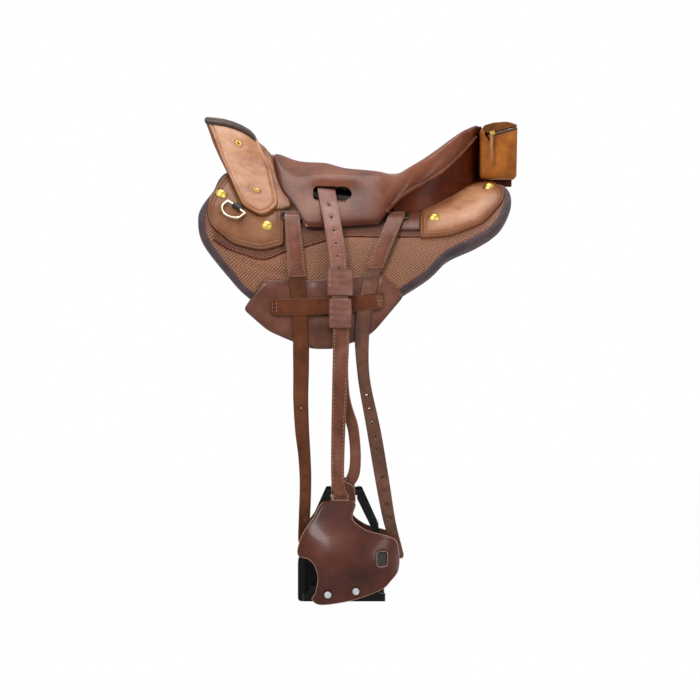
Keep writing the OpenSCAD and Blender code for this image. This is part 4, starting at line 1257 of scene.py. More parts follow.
@dataclass
class FlankLayers:
    """The mesh skirt, its bound edge, the felt panel under it and the leather that lies on it, for one side.

    Attributes:
        side: The side of the saddle.
        finish: The materials.
        skirt_edge: Points that the skirt's outline passes through, seen from the side.
        lobe: Corners of the padded lobe with their radii, as for both jockeys.
        flap_seam: The piped seam below the seat's flap; its dark cord paints the shadow line along it.
        hem: The piped seam below the front jockey; its dark cord paints the shadow line along it.
        fold: A groove across the skirt.
        pressed: Middle and half width of each strap that presses the lobe flat.
        keeper: The two ends of the strap across the lobe.
        bound: Width of the bound edge.
        panel_r: Inner and outer radius of the felt panel, as for the other layers.
        beads: Depths of the rows of points along a tooled edge.
    """

    side: Side
    finish: Finish
    skirt_edge: tuple[Pair, ...] = (
        (-276, 66), (-300, 30), (-318, 5), (-325, -18), (-316, -60), (-271, -122), (-232, -164), (-140, -232),
        (-60, -230), (30, -165), (91, -122), (126, -87), (180, -60), (216, -33), (237, 12), (230, 38), (204, 46),
        (150, 54), (0, 50), (-200, 76))
    lobe: tuple[Pair3, ...] = (
        (-208, -131, 18), (5, -117, 16), (46, -157, 12), (-17, -233, 80), (-83, -255, 60), (-122, -255, 60),
        (-199, -223, 80), (-243, -184, 8))
    front_jockey: tuple[Pair3, ...] = (
        (-248, 84, 4), (-311, 12, 50), (-306, -30, 40), (-262, -66, 40), (-210, -79, 60), (-171, -67, 4),
        (-171, -4, 10), (-187, 38, 30), (-201, 84, 4))
    rear_jockey: tuple[Pair3, ...] = (
        (73, -55, 5), (126, -51, 70), (186, -28, 60), (222, 12, 34), (226, 34, 12), (206, 47, 12), (150, 54, 5),
        (122, 22, 20), (95, 4, 20), (73, -6, 5))
    flap_seam: tuple[Pair, ...] = ((-148, -77), (-135, -72), (-96, -60), (-61, -52.5), (0, -53), (76, -53))
    hem: tuple[Pair, ...] = ((-297, -58), (-272, -74), (-249, -83), (-208, -94), (-171, -81), (-166, -79))
    fold: tuple[Pair, ...] = ((-316, -22), (-296, -62), (-240, -100), (-190, -118), (-150, -122))
    pressed: tuple[Pair, Pair] = ((-143, 24), (-22, 26))
    keeper: tuple[Pair, Pair] = ((-196, -180), (10, -166))
    keeper_half: float = 26.0
    bound: float = 14.0
    panel_r: Pair = (225.2, 235.0)
    skirt_r: Pair = (235.2, 247.0)
    lobe_r: Pair = (247.3, 252.3)
    jockey_r: Pair = (247.4, 252.1)
    beads: tuple[float, ...] = (0.6, 1.5, 2.6, 4.2, 5.6, 7.0, 8.4, 9.8, 11.2, 12.6)
    lobe_beads: tuple[float, ...] = (0.6, 1.4, 2.6, 4.0, 5.5, 7.0, 8.5)
    seam_steps: int = 60

    def sheet(self, word: str, edge: Arr, r: Pair, look: Mat, rise: Lay, soft: float, step: float,
              rings: Sequence[float] = (0.7, 1.8, 4.0)) -> Obj:
        """Lays one of this side's layers, with half its rounding on its inner edge, and returns it."""
        return layer(word, self.side, edge, r, look, rise, soft, 0.5, step, rings)

    def build(self) -> list[Piece]:
        """Models the layers of this side and returns them."""
        fin = self.finish
        edge = smooth_line(self.skirt_edge, 260, closed=True)
        felt = self.sheet("felt_panel", inset(edge, self.bound - 3), self.panel_r, fin.felt, self.quilt, 4.0, 12.0)
        mesh = self.sheet("mesh_skirt", inset(edge, self.bound - 4), self.skirt_r, fin.mesh, self.channels, 3.0, 4.5)
        self.band(mesh)
        lobe = self.sheet("padded_lobe", rounded(self.lobe), self.lobe_r, fin.lobe, self.stuffing, 4.0, 5.0,
                          self.lobe_beads)
        front, rear = (
            self.sheet(f"tan_{word}_jockey", rounded(shape), self.jockey_r, look, self.creased, 1.8, 6.0, self.beads)
            for word, shape, look in (("front", self.front_jockey, fin.worn_tan), ("rear", self.rear_jockey, fin.tan)))
        stands = ((felt, "panel", 0.8), (mesh, "skirt", 0.7), (lobe, "lobe", 0.6), (front, "front_jockey", None),
                  (rear, "rear_jockey", None), (self.edge_roll(edge), "binding", None))
        pieces = [Piece(obj, SADDLE, (f"{node}_{self.side.tag}",), fill) for obj, node, fill in stands]
        return pieces + [Piece(row, SADDLE) for row in self.seams(edge)]

    def quilt(self, x: Arr, y: Arr, d: Arr) -> Arr:
        """Returns the shallow quilting of the felt panel."""
        return -1.2 * ridge((x - y) % 90, 45, 3.0)

    def channels(self, x: Arr, y: Arr, d: Arr) -> Arr:
        """Returns the grooves sewn across the mesh skirt.

        Args:
            x: Places along the saddle.
            y: Places up the flat.
            d: Distances to the edge; not used.

        Returns:
            One relief a point.
        """
        p, r = np.column_stack([x, y]), self.skirt_r[1]
        groove, hem = (BACK.flat(smooth_line(line, self.seam_steps), r) for line in (self.flap_seam, self.hem))
        fold = BACK.flat(np.array(self.fold, float), r)
        return -dip_along(p, groove, 4.0, 2.4) - dip_along(p, fold, 4.5, 2.6) - dip_along(p, hem, 3.6, 2.4)

    def band(self, mesh: Obj) -> None:
        """Paints shade on the bands of mesh under the leather above, down to the two piped seams.

        Args:
            mesh: The skirt.
        """
        at = np.empty(3 * len(mesh.data.vertices), np.float32)
        mesh.data.vertices.foreach_get("co", at)
        x, _, z = at.reshape(-1, 3).T / MM
        share = np.zeros(len(x))
        for line in (self.flap_seam, self.hem):
            way = smooth_line(line, self.seam_steps)
            over = np.clip((z - np.interp(x, way[:, 0], way[:, 1]) + 1) / 4, 0, 1)
            share = np.maximum(share, over * np.clip((np.minimum(x - way[0, 0], way[-1, 0] - x) + 2) / 4, 0, 1))
        mark(mesh, "band", share)

    def stuffing(self, x: Arr, y: Arr, d: Arr) -> Arr:
        """Returns the crown of the lobe, pressed flat where straps cross it.

        Args:
            x: Places along the saddle.
            y: Places up the flat.
            d: Distances to the edge.

        Returns:
            One relief a point.
        """
        crown = 5.4 * (1 - np.exp(-d / 10))
        free = np.ones_like(x)
        for mid, half in self.pressed:
            free *= 1 - np.exp(-((np.abs(x - mid) / half) ** 4))
        strap = BACK.flat(np.array(self.keeper, float), self.lobe_r[1])
        free *= 1 - np.exp(-((distance_to(np.column_stack([x, y]), strap, closed=False) / self.keeper_half) ** 4))
        wave = 0.35 * np.sin(x / 9.0 + 1.3 * np.sin(y / 17.0)) * np.clip(d / 12, 0, 1)
        return crown * free + wave * free

    def creased(self, x: Arr, y: Arr, d: Arr) -> Arr:
        """Returns the tooled lines that follow a jockey's edge."""
        lines = ((0.5, 2.6, 1.6), (-0.9, 5.6, 1.0), (0.6, 8.4, 1.6), (-0.7, 11.2, 1.1))
        return sum(high * ridge(d, at, width) for high, at, width in lines)

    def edge_roll(self, edge: Arr) -> Obj:
        """Rolls the binding tape round the skirt's edge.

        Args:
            edge: Outline of the skirt seen from the side.

        Returns:
            The bound edge of this side.
        """
        low, top, wide = self.panel_r[0], self.skirt_r[1], self.bound
        flat = BACK.flat(edge, top)
        ahead = unit(np.roll(flat, -1, 0) - np.roll(flat, 1, 0))
        inward = np.column_stack([-ahead[:, 1], ahead[:, 0]])
        section = smooth_line([
            (wide, low + 0.2), (6, low - 0.1), (1.6, low + 2.2), (0.2, low + 8), (0.2, top - 8), (1.6, top - 1.6),
            (6, top + 0.4), (11, top + 0.3), (wide, top - 1.2), (wide, (low + top) / 2)], 28, closed=True)
        rings = []
        for d, r in section:
            at = flat + inward * d
            up = np.minimum(at[:, 1], top * math.pi / 2)
            rings.append(BACK.laid(at[:, 0], up, top, np.full(len(at), r - top)))
        obj = whole(loft(f"bound_edge_{self.side.tag}", np.stack(rings, axis=1), closed=True))
        smooth(obj, ROUND_ANGLE)
        return fitted(obj, self.side, self.finish.binding)

    def seams(self, edge: Arr) -> list[Obj]:
        """Lays the piping, whose dark cords paint the shadow line along the two seams, and sews the rows of stitches of
        this side, and returns them.

        Args:
            edge: Outline of the skirt seen from the side.

        Returns:
            The piping and the rows of stitches.
        """
        tag, r, made = self.side.tag, self.skirt_r[1], []
        for word, way in (("flap", self.flap_seam), ("hem", self.hem)):
            flat = BACK.flat(smooth_line(way, self.seam_steps), r)
            path = BACK.laid(flat[:, 0], flat[:, 1], r, np.full(self.seam_steps, -1.2))
            # The seams are real; the dark cord laid in each groove paints the shadow line along it.
            cord = whole(tube(f"{word}_piping_{tag}", path, 1.1, 8))
            smooth(cord, ROUND_ANGLE)
            made.append(fitted(cord, self.side, self.finish.dark))
        bind = inset(BACK.flat(edge, r), self.bound - 3.0)
        rows = [("binding_stitches", bind[bind[:, 1] < BACK.flat(np.array([[0.0, 30.0]]), r)[0, 1]], r, 0.5)]
        for word, shape in (("front_jockey", self.front_jockey), ("rear_jockey", self.rear_jockey)):
            line = BACK.flat(rounded(shape), self.jockey_r[1])
            part = inset(even(line, 3.0), 5.6)
            part = part[part[:, 1] < line[:, 1].max() - 34]
            rows.append((f"{word}_stitches_0", part, self.jockey_r[1], -0.7))
        for word, part, radius, lift in rows:
            start = int(np.argmax(np.linalg.norm(np.roll(part, 1, 0) - part, axis=1)))
            row = sewn_row(f"{word}_{tag}", np.roll(part, -start, 0), radius, lift)
            made.append(fitted(row, self.side, self.finish.dark_thread))
        return made


# ---- straps and stirrup leathers


def strap_outline(stations: Sequence[Pair3], count: int = 80) -> Arr:
    """Returns the closed outline, seen from the side, of a strap with heights, middles and widths."""
    z, mid, wide = smooth_line(stations, count).T
    return np.vstack([np.column_stack([mid - wide / 2, z]), np.column_stack([mid + wide / 2, z])[::-1]])


def punched(line: Arr, heights: Sequence[float], radius: float, r: float) -> list[Arr]:
    """Returns the outlines on the flat of the holes down the middle of a strap."""
    return [BACK.flat(ring_of_points(np.interp(-z, -line[:, 0], line[:, 1]), z, radius), r) for z in heights]


@dataclass
class Billet:
    """A girth strap: it comes down from its dee under the keeper and hangs free below the skirt.

    Attributes:
        word: Front or rear, as in the CAD names.
        stations: Height, middle and width down the strap.
        hole_z: Height of the first hole.
        r: Radii of its inner and outer face.
        hinge_z: Height at which the strap bends.
        lean: How far the free end leans inwards, in degrees.
        pitch: Distance between its holes.
        hole_d: Diameter of a hole.
        reach: Length of the bend above and below the hinge.
    """

    side: Side
    word: str
    stations: tuple[Pair3, ...]
    hole_z: float
    material: Mat
    r: Pair = (252.6, 256.6)
    hinge_z: float = -257.0
    lean: float = 3.0
    holes: int = 10
    pitch: float = 24.5
    hole_d: float = 5.0
    reach: float = 9.0

    def hung(self, points: Arr) -> Arr:
        """Leans the free end inwards about the strap's bend and returns the points.

        Args:
            points: Points of the strap as if it hung upright.

        Returns:
            The same points, moved.
        """
        y0 = -(BACK.half_gap + sum(self.r) / 2)
        a = math.radians(self.lean)
        low = points[:, 2] < self.hinge_z
        dy, dz = points[low, 1] - y0, points[low, 2] - self.hinge_z
        points[low, 1] = y0 + dy * math.cos(a) - dz * math.sin(a)
        points[low, 2] = self.hinge_z + dy * math.sin(a) + dz * math.cos(a)
        return points

    def build(self) -> Piece:
        """Models the strap with its punched holes and returns it."""
        tag, (low, r) = self.side.tag, self.r
        line = smooth_line(self.stations, 300)
        holes = punched(line, [self.hole_z - k * self.pitch for k in range(self.holes)], self.hole_d / 2, r)
        obj = flank_sheet(
            f"{self.word}_girth_strap_{tag}", BACK.flat(strap_outline(self.stations, 130), r), r,
            lambda x, y, d: 0.4 * np.clip(d / 9, 0, 1) - 0.35 * ridge(d, 3.2, 0.9) - 0.3 - rounding(d, 1.3),
            lambda x, y, d: low - r + rounding(d, 1.0), 5.0, (0.5, 1.3, 3.2), holes, move=self.hung)
        x, y = line[0, 1] * MM, -(BACK.half_gap + sum(self.r) / 2) * MM * self.side.value
        start, end = ((x, y, (self.hinge_z + by) * MM) for by in (self.reach, -self.reach))
        billet = f"{self.word}_billet_{tag}"
        return Piece(fitted(obj, self.side, self.material), SADDLE, (f"{self.word}_rigging_{tag}", billet),
                     bend=(SADDLE, billet, start, end))


FRONT_BILLET: tuple[Pair3, ...] = (
    (-12, -157, 25), (-45, -154, 26.5), (-78, -151, 28), (-124, -147.5, 28.5), (-180, -142.5, 27), (-239, -141, 27),
    (-257, -141, 27), (-300, -141, 26), (-346, -141.5, 25), (-403, -139, 23), (-448, -135, 20), (-498, -133, 19),
    (-563, -135, 19), (-594, -136.4, 18), (-602, -136.8, 14), (-605, -137, 9))
REAR_BILLET: tuple[Pair3, ...] = (
    (-11, 32.5, 27), (-60, 12, 27), (-110, -8.5, 26.5), (-150, -19, 26.5), (-187, -27.5, 27), (-221, -31, 27),
    (-257, -31, 24), (-294, -29, 21.5), (-330, -24, 22), (-403, -9.5, 25), (-489, 5, 25), (-563, 18, 22),
    (-618, 33.5, 18), (-627, 36, 14), (-630, 37, 9))


@dataclass
class Rigging:
    """The stitched strap sewn over the top of a girth strap, and the black dee that both hang from.

    Attributes:
        word: Front or rear, as in the CAD names.
        stations: Height, middle and width down the girth strap.
        foot_z: Height of the sewn strap's lower end.
        r: Radii of the sewn strap's inner and outer face, as for the dee and the leather behind it.
        bar_leather: Corners of the leather behind the rear dee, with their radii.
    """

    side: Side
    word: str
    stations: tuple[Pair3, ...]
    foot_z: float
    finish: Finish
    r: Pair = (256.8, 259.4)
    dee_r: Pair = (252.6, 256.4)
    bar_leather: tuple[Pair3, ...] = ((14, 0, 4), (74, -4, 2), (74, -40, 4), (28, -40, 4), (10, -22, 8))
    bar_r: Pair = (247.4, 252.0)

    def flank(self, word: str, outline: Arr, r: Pair, look: Mat, soft: float, rise: Lay = level_face,
              holes: Sequence[Arr] = ()) -> Obj:
        """Lays one of the cut pieces, with a sharp inner edge, and returns it."""
        return layer(word, self.side, outline, r, look, rise, soft, 0.0, 4.0, (0.5, 1.3, 2.6, 4.4), holes)

    def build(self) -> list[Piece]:
        """Models the sewn strap, its turn over the dee, the dee and the leather behind them, and returns them."""
        tag, word, fin = self.side.tag, self.word, self.finish
        line = smooth_line(self.stations, 260)
        line = line[line[:, 0] >= self.foot_z]
        half = line[:, 2] / 2 + 0.8
        edges = [np.column_stack([line[:, 1] + sign * half, line[:, 0]]) for sign in (-1, 1)]
        seam = float(BACK.flat(np.array([(line[-1, 1], self.foot_z + 38)]), self.r[1])[0, 1])

        def sewn(x: Arr, y: Arr, d: Arr) -> Arr:
            """Returns the grooves of the sewing and the crown between them."""
            return -0.6 * ridge(d, 3.0, 0.9) - 0.9 * ridge(y, seam, 1.1) + 0.5 * np.clip(d / 8, 0, 1)

        strap = self.flank(f"{word}_rigging_strap", np.vstack([edges[0], edges[1][::-1]]), self.r, fin.strap, 1.2, sewn)
        z, x, w = line[0]
        bar = BACK.point([x - w / 2, x + w / 2], [z, z], [self.r[0] - 0.6] * 2)
        turn = whole(tube(f"{word}_rigging_turn_{tag}", np.linspace(bar[0], bar[1], 8), 3.2))
        smooth(turn, ROUND_ANGLE)
        fitted(turn, self.side, fin.strap)
        far = w / 2 + 6.0
        dee = self.flank(f"{word}_dee", oblong((x - far, x + far), (z + 6, z - 9), 3), self.dee_r, fin.paint, 1.6,
                         holes=[oblong((x - far + 3, x + far - 3), (z + 3, z - 6), 2)])
        stands = once(self.side, "rigging_dees") if word == "front" else ()
        pieces = [Piece(strap, SADDLE), Piece(turn, SADDLE), Piece(dee, SADDLE, stands)]
        for k, (sign, edge) in enumerate(zip((-1, 1), edges)):
            inner = BACK.flat(edge[4:-4] - (sign * 3.0, 0), self.r[1])
            row = sewn_row(f"{word}_rigging_stitches_{k}_{tag}", inner, self.r[1], -0.3)
            pieces.append(Piece(fitted(row, self.side, fin.thread), SADDLE))
        if word == "rear":
            leather = self.flank("rigging_leather", rounded(self.bar_leather), self.bar_r, fin.lobe, 4.0)
            pieces.append(Piece(leather, SADDLE))
        return pieces


@dataclass
class Keeper:
    """The flat strap sewn across the lobe, which holds the girth straps down.

    Attributes:
        outline: Its corners with their radii, seen from the side.
        r: Radii of its inner and outer face between its ends.
        base_r: Radius of its inner face at its sewn ends.
        ends: Its two ends along the saddle.
        rows: Upper and lower place along the saddle of each row of stitches.
        heights: Heights at both ends of the lower and of the upper stitch of a row.
    """

    side: Side
    finish: Finish
    outline: tuple[Pair3, ...] = ((-196, -165, 3), (8, -151, 3), (10, -180, 3), (-196, -194, 3))
    r: Pair = (256.9, 259.9)
    base_r: float = 252.7
    ends: Pair = (-196, 9)
    rows: tuple[Pair, ...] = ((-191.0, -191.0), (-184.0, -184.0), (3.5, 5.0), (-3.5, -2.0))
    heights: tuple[Pair, Pair] = ((-190, -176), (-169, -155))

    def rise(self, x: Arr) -> Arr:
        """Returns how far the strap drops to the lobe at its two sewn ends."""
        near = np.minimum(x - self.ends[0], self.ends[1] - x)
        return (self.base_r - self.r[0]) * (1 - ease((near - 3) / 9))

    def build(self) -> list[Piece]:
        """Models the strap and its stitching and returns them."""
        tag, (low, r) = self.side.tag, self.r
        obj = flank_sheet(
            f"keeper_strap_{tag}", BACK.flat(rounded(self.outline), r), r,
            lambda x, y, d: self.rise(x) - rounding(d, 1.2) - 0.3 * ridge(d, 3.5, 0.9),
            lambda x, y, d: low - r + self.rise(x), 4.0, (0.5, 1.2, 3.0))
        pieces = [Piece(fitted(obj, self.side, self.finish.keeper), SADDLE, once(self.side, "keeper_straps"))]
        for k, (x0, x1) in enumerate(self.rows):
            z0, z1 = (np.interp(x0, self.ends, pair) for pair in self.heights)
            part = BACK.flat(np.linspace((x1, z0), (x0, z1), 12), r)
            row = sewn_row(f"keeper_stitches_{k}_{tag}", part, r, float(self.rise(np.array([x0]))[0]) + 0.1)
            pieces.append(Piece(fitted(row, self.side, self.finish.thread), SADDLE))
        return pieces


@dataclass
class StirrupLeather:
    """The stirrup leather of one side: a doubled upper strap, the loop that carries the stirrup, and their sleeves.

    Attributes:
        upper: Height, middle and width down the upper strap, as for the loop's front and back.
        upper_r: Radii of its inner and outer face.
        holes: Heights of its holes.
        hole_d: Diameter of a hole.
        drop: How much flatter than the back the upper strap lies.
        front_r: Radius of the loop's front at its top; low_front_r is the one at the stirrup's bar.
        back_r: Radius of the loop's back.
        ply: Thickness of the loop's leather.
        bar_z: Height of the stirrup's bar.
        straight_z: Height below which the front leans out to the bar.
        rod: Y and Z of the tree's rod that the upper strap turns over.
        turn_x: Where the upper strap's turn over the rod starts and ends.
        turn_r: Inner and outer radius of that turn.
        lift: The axis on which the upper strap lifts.
        bend: Y and Z from that axis to the start and to the end of the bend.
        post_x: Middle of the buckle's post and of both sleeves.
        tab: Corners of the hood's tongue with their radii.
        tab_y: Y of its outer and inner face.
    """

    side: Side
    finish: Finish
    upper: tuple[Pair3, ...] = ((45, -97, 31), (20, -92.5, 31), (-50, -80, 30), (-112, -72.5, 28.5), (-187, -70, 28))
    upper_r: Pair = (270.1, 277.1)
    holes: tuple[float, ...] = tuple(6 - 23.4 * k for k in range(6))
    hole_d: float = 5.2
    drop: float = 12.0
    front: tuple[Pair3, ...] = (
        (-163, -70, 16), (-168, -70, 24), (-176, -70, 26.5), (-190, -70, 27.5), (-239, -68.5, 29), (-320, -71, 27),
        (-403, -73.5, 25), (-489, -74.5, 23), (-512, -69, 22))
    back: tuple[Pair3, ...] = (
        (-163, -70, 16), (-168, -70, 24), (-190, -69, 26), (-330, -66, 24), (-403, -46, 20), (-478, -45, 20),
        (-512, -69, 22))
    front_r: float = 279.35
    low_front_r: float = 281.55
    back_r: float = 265.65
    ply: float = 3.5
    bar_z: float = -512.0
    straight_z: float = -225.0
    rod: Pair = (-80.0, 44.3)
    turn_x: Pair = (-116.0, -84.0)
    turn_r: Pair = (4.3, 7.8)
    lift: Pair3 = (-95.0, -152.53, 18.0)
    bend: tuple[Pair, Pair] = ((7.0, 12.0), (-5.0, -8.0))
    post_x: float = -70.0
    tab: tuple[Pair3, ...] = ((-86, -489, 6), (-63, -490, 10), (-44, -500, 12), (-42, -527, 2), (-86, -527, 2))
    tab_y: Pair = (-308.8, -306.2)
    beads: Pair3 = (0.5, 1.2, 3.0)

    @property
    def upper_flat(self) -> float:
        """Returns the radius that the upper strap is unrolled at."""
        return self.upper_r[1] - self.drop

    def front_radius(self, z: Arr) -> Arr:
        """Returns the radius of the loop's front ply at heights."""
        return np.interp(z, (self.bar_z, self.straight_z), (self.low_front_r, self.front_r))

    def build(self) -> list[Piece]:
        """Models the straps and sleeves of this side and returns them."""
        tag = self.side.tag
        lower, upper = f"lower_leather_{tag}", f"upper_leather_{tag}"
        pieces = [self.upper_strap(), Piece(self.loop(), lower, (lower,))]
        sleeve = self.sleeve(f"lower_sleeve_{tag}", 20.0, (-217.0, -165.0), (261.4, 285.7), 0.0, 0.2)
        cap = self.sleeve(f"upper_sleeve_{tag}", 23.0, (-159.0, -112.0), (268.1, 279.1), self.drop, 0.42)
        pieces += [Piece(sleeve, lower, (f"leather_sleeve_{tag}",)), Piece(cap, upper), Piece(self.tongue(), lower)]
        return pieces + self.seams()

    def upper_strap(self) -> Piece:
        """Models the doubled strap with its holes, up to its turn over the tree's rod."""
        tag, r = self.side.tag, self.upper_flat
        holes = punched(smooth_line(self.upper, 200), self.holes, self.hole_d / 2, r)
        flat = BACK.flat(strap_outline(self.upper), r)
        flat[:, 1] = np.minimum(flat[:, 1], r * math.acos((-self.rod[0] - BACK.half_gap - self.drop) / r))
        strap = flank_sheet(
            f"upper_strap_{tag}", flat, r, lambda x, y, d: -rounding(d, 1.6) - 0.35 * ridge(d, 3.4, 0.8),
            lambda x, y, d: self.upper_r[0] - self.upper_r[1] + rounding(d, 1.2), 4.0, self.beads, holes, self.drop)
        steps = 24
        turn = np.linspace(0, 2 * np.pi, steps + 1)[:-1]
        (x0, x1), (r0, r1) = self.turn_x, self.turn_r
        ends = [np.column_stack([np.full(steps, x), self.rod[0] + s * np.cos(turn), self.rod[1] + s * np.sin(turn)])
                for x, s in ((x0, r0), (x0, r1), (x1, r1), (x1, r0))]
        loop = whole(loft(f"upper_loop_{tag}", np.stack(ends), closed=True))
        obj = join(strap.name, [strap, loop])
        smooth(obj, SHADE_ANGLE)
        # The upper strap wears the paler copy of the strap leather, a painted highlight.
        fitted(obj, self.side, self.finish.pale_strap)
        sign, (x, y, z) = self.side.value, self.lift
        start, end = ((x * MM, (y * sign + dy * sign) * MM, (z + dz) * MM) for dy, dz in self.bend)
        upper = f"upper_leather_{tag}"
        return Piece(obj, SADDLE, (upper, *once(self.side, "leather_loops")), bend=(SADDLE, upper, start, end))

    def loop(self) -> Obj:
        """Models the loop of leather that goes down in front, round the stirrup's bar and up behind."""
        front, back = smooth_line(self.front, 90), smooth_line(self.back, 90)[::-1]
        rows = [(x, BACK.point([x], [z], [self.front_radius(z)])[0, 1], z, w) for z, x, w in front]
        mid, size = -(BACK.half_gap + (self.low_front_r + self.back_r) / 2), (self.low_front_r - self.back_r) / 2
        for t in np.linspace(0, np.pi, 18)[1:-1]:
            rows.append((-69.0, mid - size * math.cos(t), self.bar_z - size * math.sin(t), 22.0))
        rows += [(x, BACK.point([x], [z], [self.back_r])[0, 1], z, w) for z, x, w in back]
        path = np.array(rows)
        ahead = unit(np.gradient(path[:, 1:3], axis=0))
        upper = [(0.985, 0.62), (0.93, 0.93), (0.8, 1), (0.4, 1)]
        near = [(-1, 0.0), *((-a, b) for a, b in upper), (0.0, 1), *upper[::-1]]
        section = near + [(-a, -b) for a, b in near]
        rings, edge = [], []
        for (x, y, z, w), (ay, az) in zip(path, ahead):
            rings.append([(x + a * w / 2, y - az * b * self.ply / 2, z + ay * b * self.ply / 2) for a, b in section])
            edge += [(1 - abs(a)) * w / 2 for a, _ in section]
        obj = loft(f"stirrup_leather_loop_{self.side.tag}", np.array(rings))
        mark(obj, "edge", np.array(edge))
        smooth(obj, SHADE_ANGLE)
        return fitted(obj, self.side, self.finish.strap)

    def sleeve(self, name: str, half: float, z: Pair, r: Pair, drop: float, puff: float) -> Obj:
        """Models a sewn sleeve round the plies.

        Args:
            name: The piece's name.
            half: Half its width.
            z: Its lower and upper edge.
            r: Radii of its inner and outer face.
            drop: How much flatter than the back it lies.
            puff: How much its outer face bulges.

        Returns:
            The sleeve.
        """
        mid, wall = (r[0] + r[1]) / 2, 2.0
        low, high = r[0] - mid, r[1] - mid
        loop = even(rounded([(-half, low, 4.5), (half, low, 4.5), (half, high, 5), (-half, high, 5)]), 2.5)
        slim = loop * np.array([(half - wall) / half, (high - wall) / high])
        heights = np.linspace(z[0], z[1], 29)
        rows = [(loop, h) for h in heights] + [(slim, h) for h in heights[::-1]]
        rings = []
        for k in range(len(loop)):
            ring = []
            for line, h in rows:
                x, out = line[k]
                belly = math.sin(math.pi * (h - z[0]) / (z[1] - z[0]))
                fold = max(out, 0) * (puff * belly + 0.08 * math.sin(h * 0.55 + 0.05 * x))
                ring.append(BACK.point([self.post_x + x * (1.0 + 0.03 * belly)], [h], [mid + out + fold], drop)[0])
            rings.append(ring)
        obj = loft(name, np.array(rings), closed=True)
        mark(obj, "edge", np.tile([min(h - z[0], z[1] - h) for _, h in rows], len(loop)))
        smooth(obj, SHADE_ANGLE)
        return fitted(obj, self.side, self.finish.sleeve)

    def tongue(self) -> Obj:
        """Models the tongue of leather behind the loop, through which the stirrup's bar shows."""
        outer, inner = self.tab_y
        obj = cut_sheet(f"hood_tongue_{self.side.tag}", rounded(self.tab), upright(outer, 1), upright(inner, -1), 4.0,
                        self.beads, [oblong((-82, -56), (-524, -513), 2, 4)])
        smooth(obj, SHADE_ANGLE)
        return fitted(obj, self.side, self.finish.hood)

    def seams(self) -> list[Piece]:
        """Sews both edges of the upper strap and of the front ply."""
        tag, r, made = self.side.tag, self.upper_flat, []
        up, low = smooth_line(self.upper, 120), smooth_line(self.front, 160)
        up = up[(up[:, 0] < 12) & (up[:, 0] > -150)]
        low = low[(low[:, 0] < -218) & (low[:, 0] > -500)]
        for k, sign in enumerate((-1, 1)):
            flat = BACK.flat(np.column_stack([up[:, 1] + sign * (up[:, 2] / 2 - 3.4), up[:, 0]]), r)
            path = BACK.laid(flat[:, 0], flat[:, 1], r, np.zeros(len(flat)), self.drop)
            y = -BACK.half_gap - self.ply / 2 - self.front_radius(low[:, 0]) - 0.1
            under = np.column_stack([low[:, 1] + sign * (low[:, 2] / 2 - 3.2), y, low[:, 0]])
            for word, way, body in (("upper_strap", path, "upper_leather"), ("loop", under, "lower_leather")):
                obj = stitches(f"{word}_stitches_{k}_{tag}", way, BACK.normal(way[:, 0], way[:, 2], r))
                made.append(Piece(fitted(obj, self.side, self.finish.thread), f"{body}_{tag}"))
        return made


# ---- pommel, seat and cantle


def through(points: Arr, count: int) -> Arr:
    """Draws a smooth curve through points, evenly in its own measure, which flattens at both ends.

    Args:
        points: Points that it passes through.
        count: How many points to return.

    Returns:
        The points of the curve.
    """
    p = np.vstack([points[:1], points, points[-1:]])
    t = np.linspace(0, len(points) - 1, count)
    i = np.minimum(t.astype(int), len(points) - 2)
    f = (t - i)[:, None]
    return between(p[i], p[i + 1], p[i + 2], p[i + 3], f)


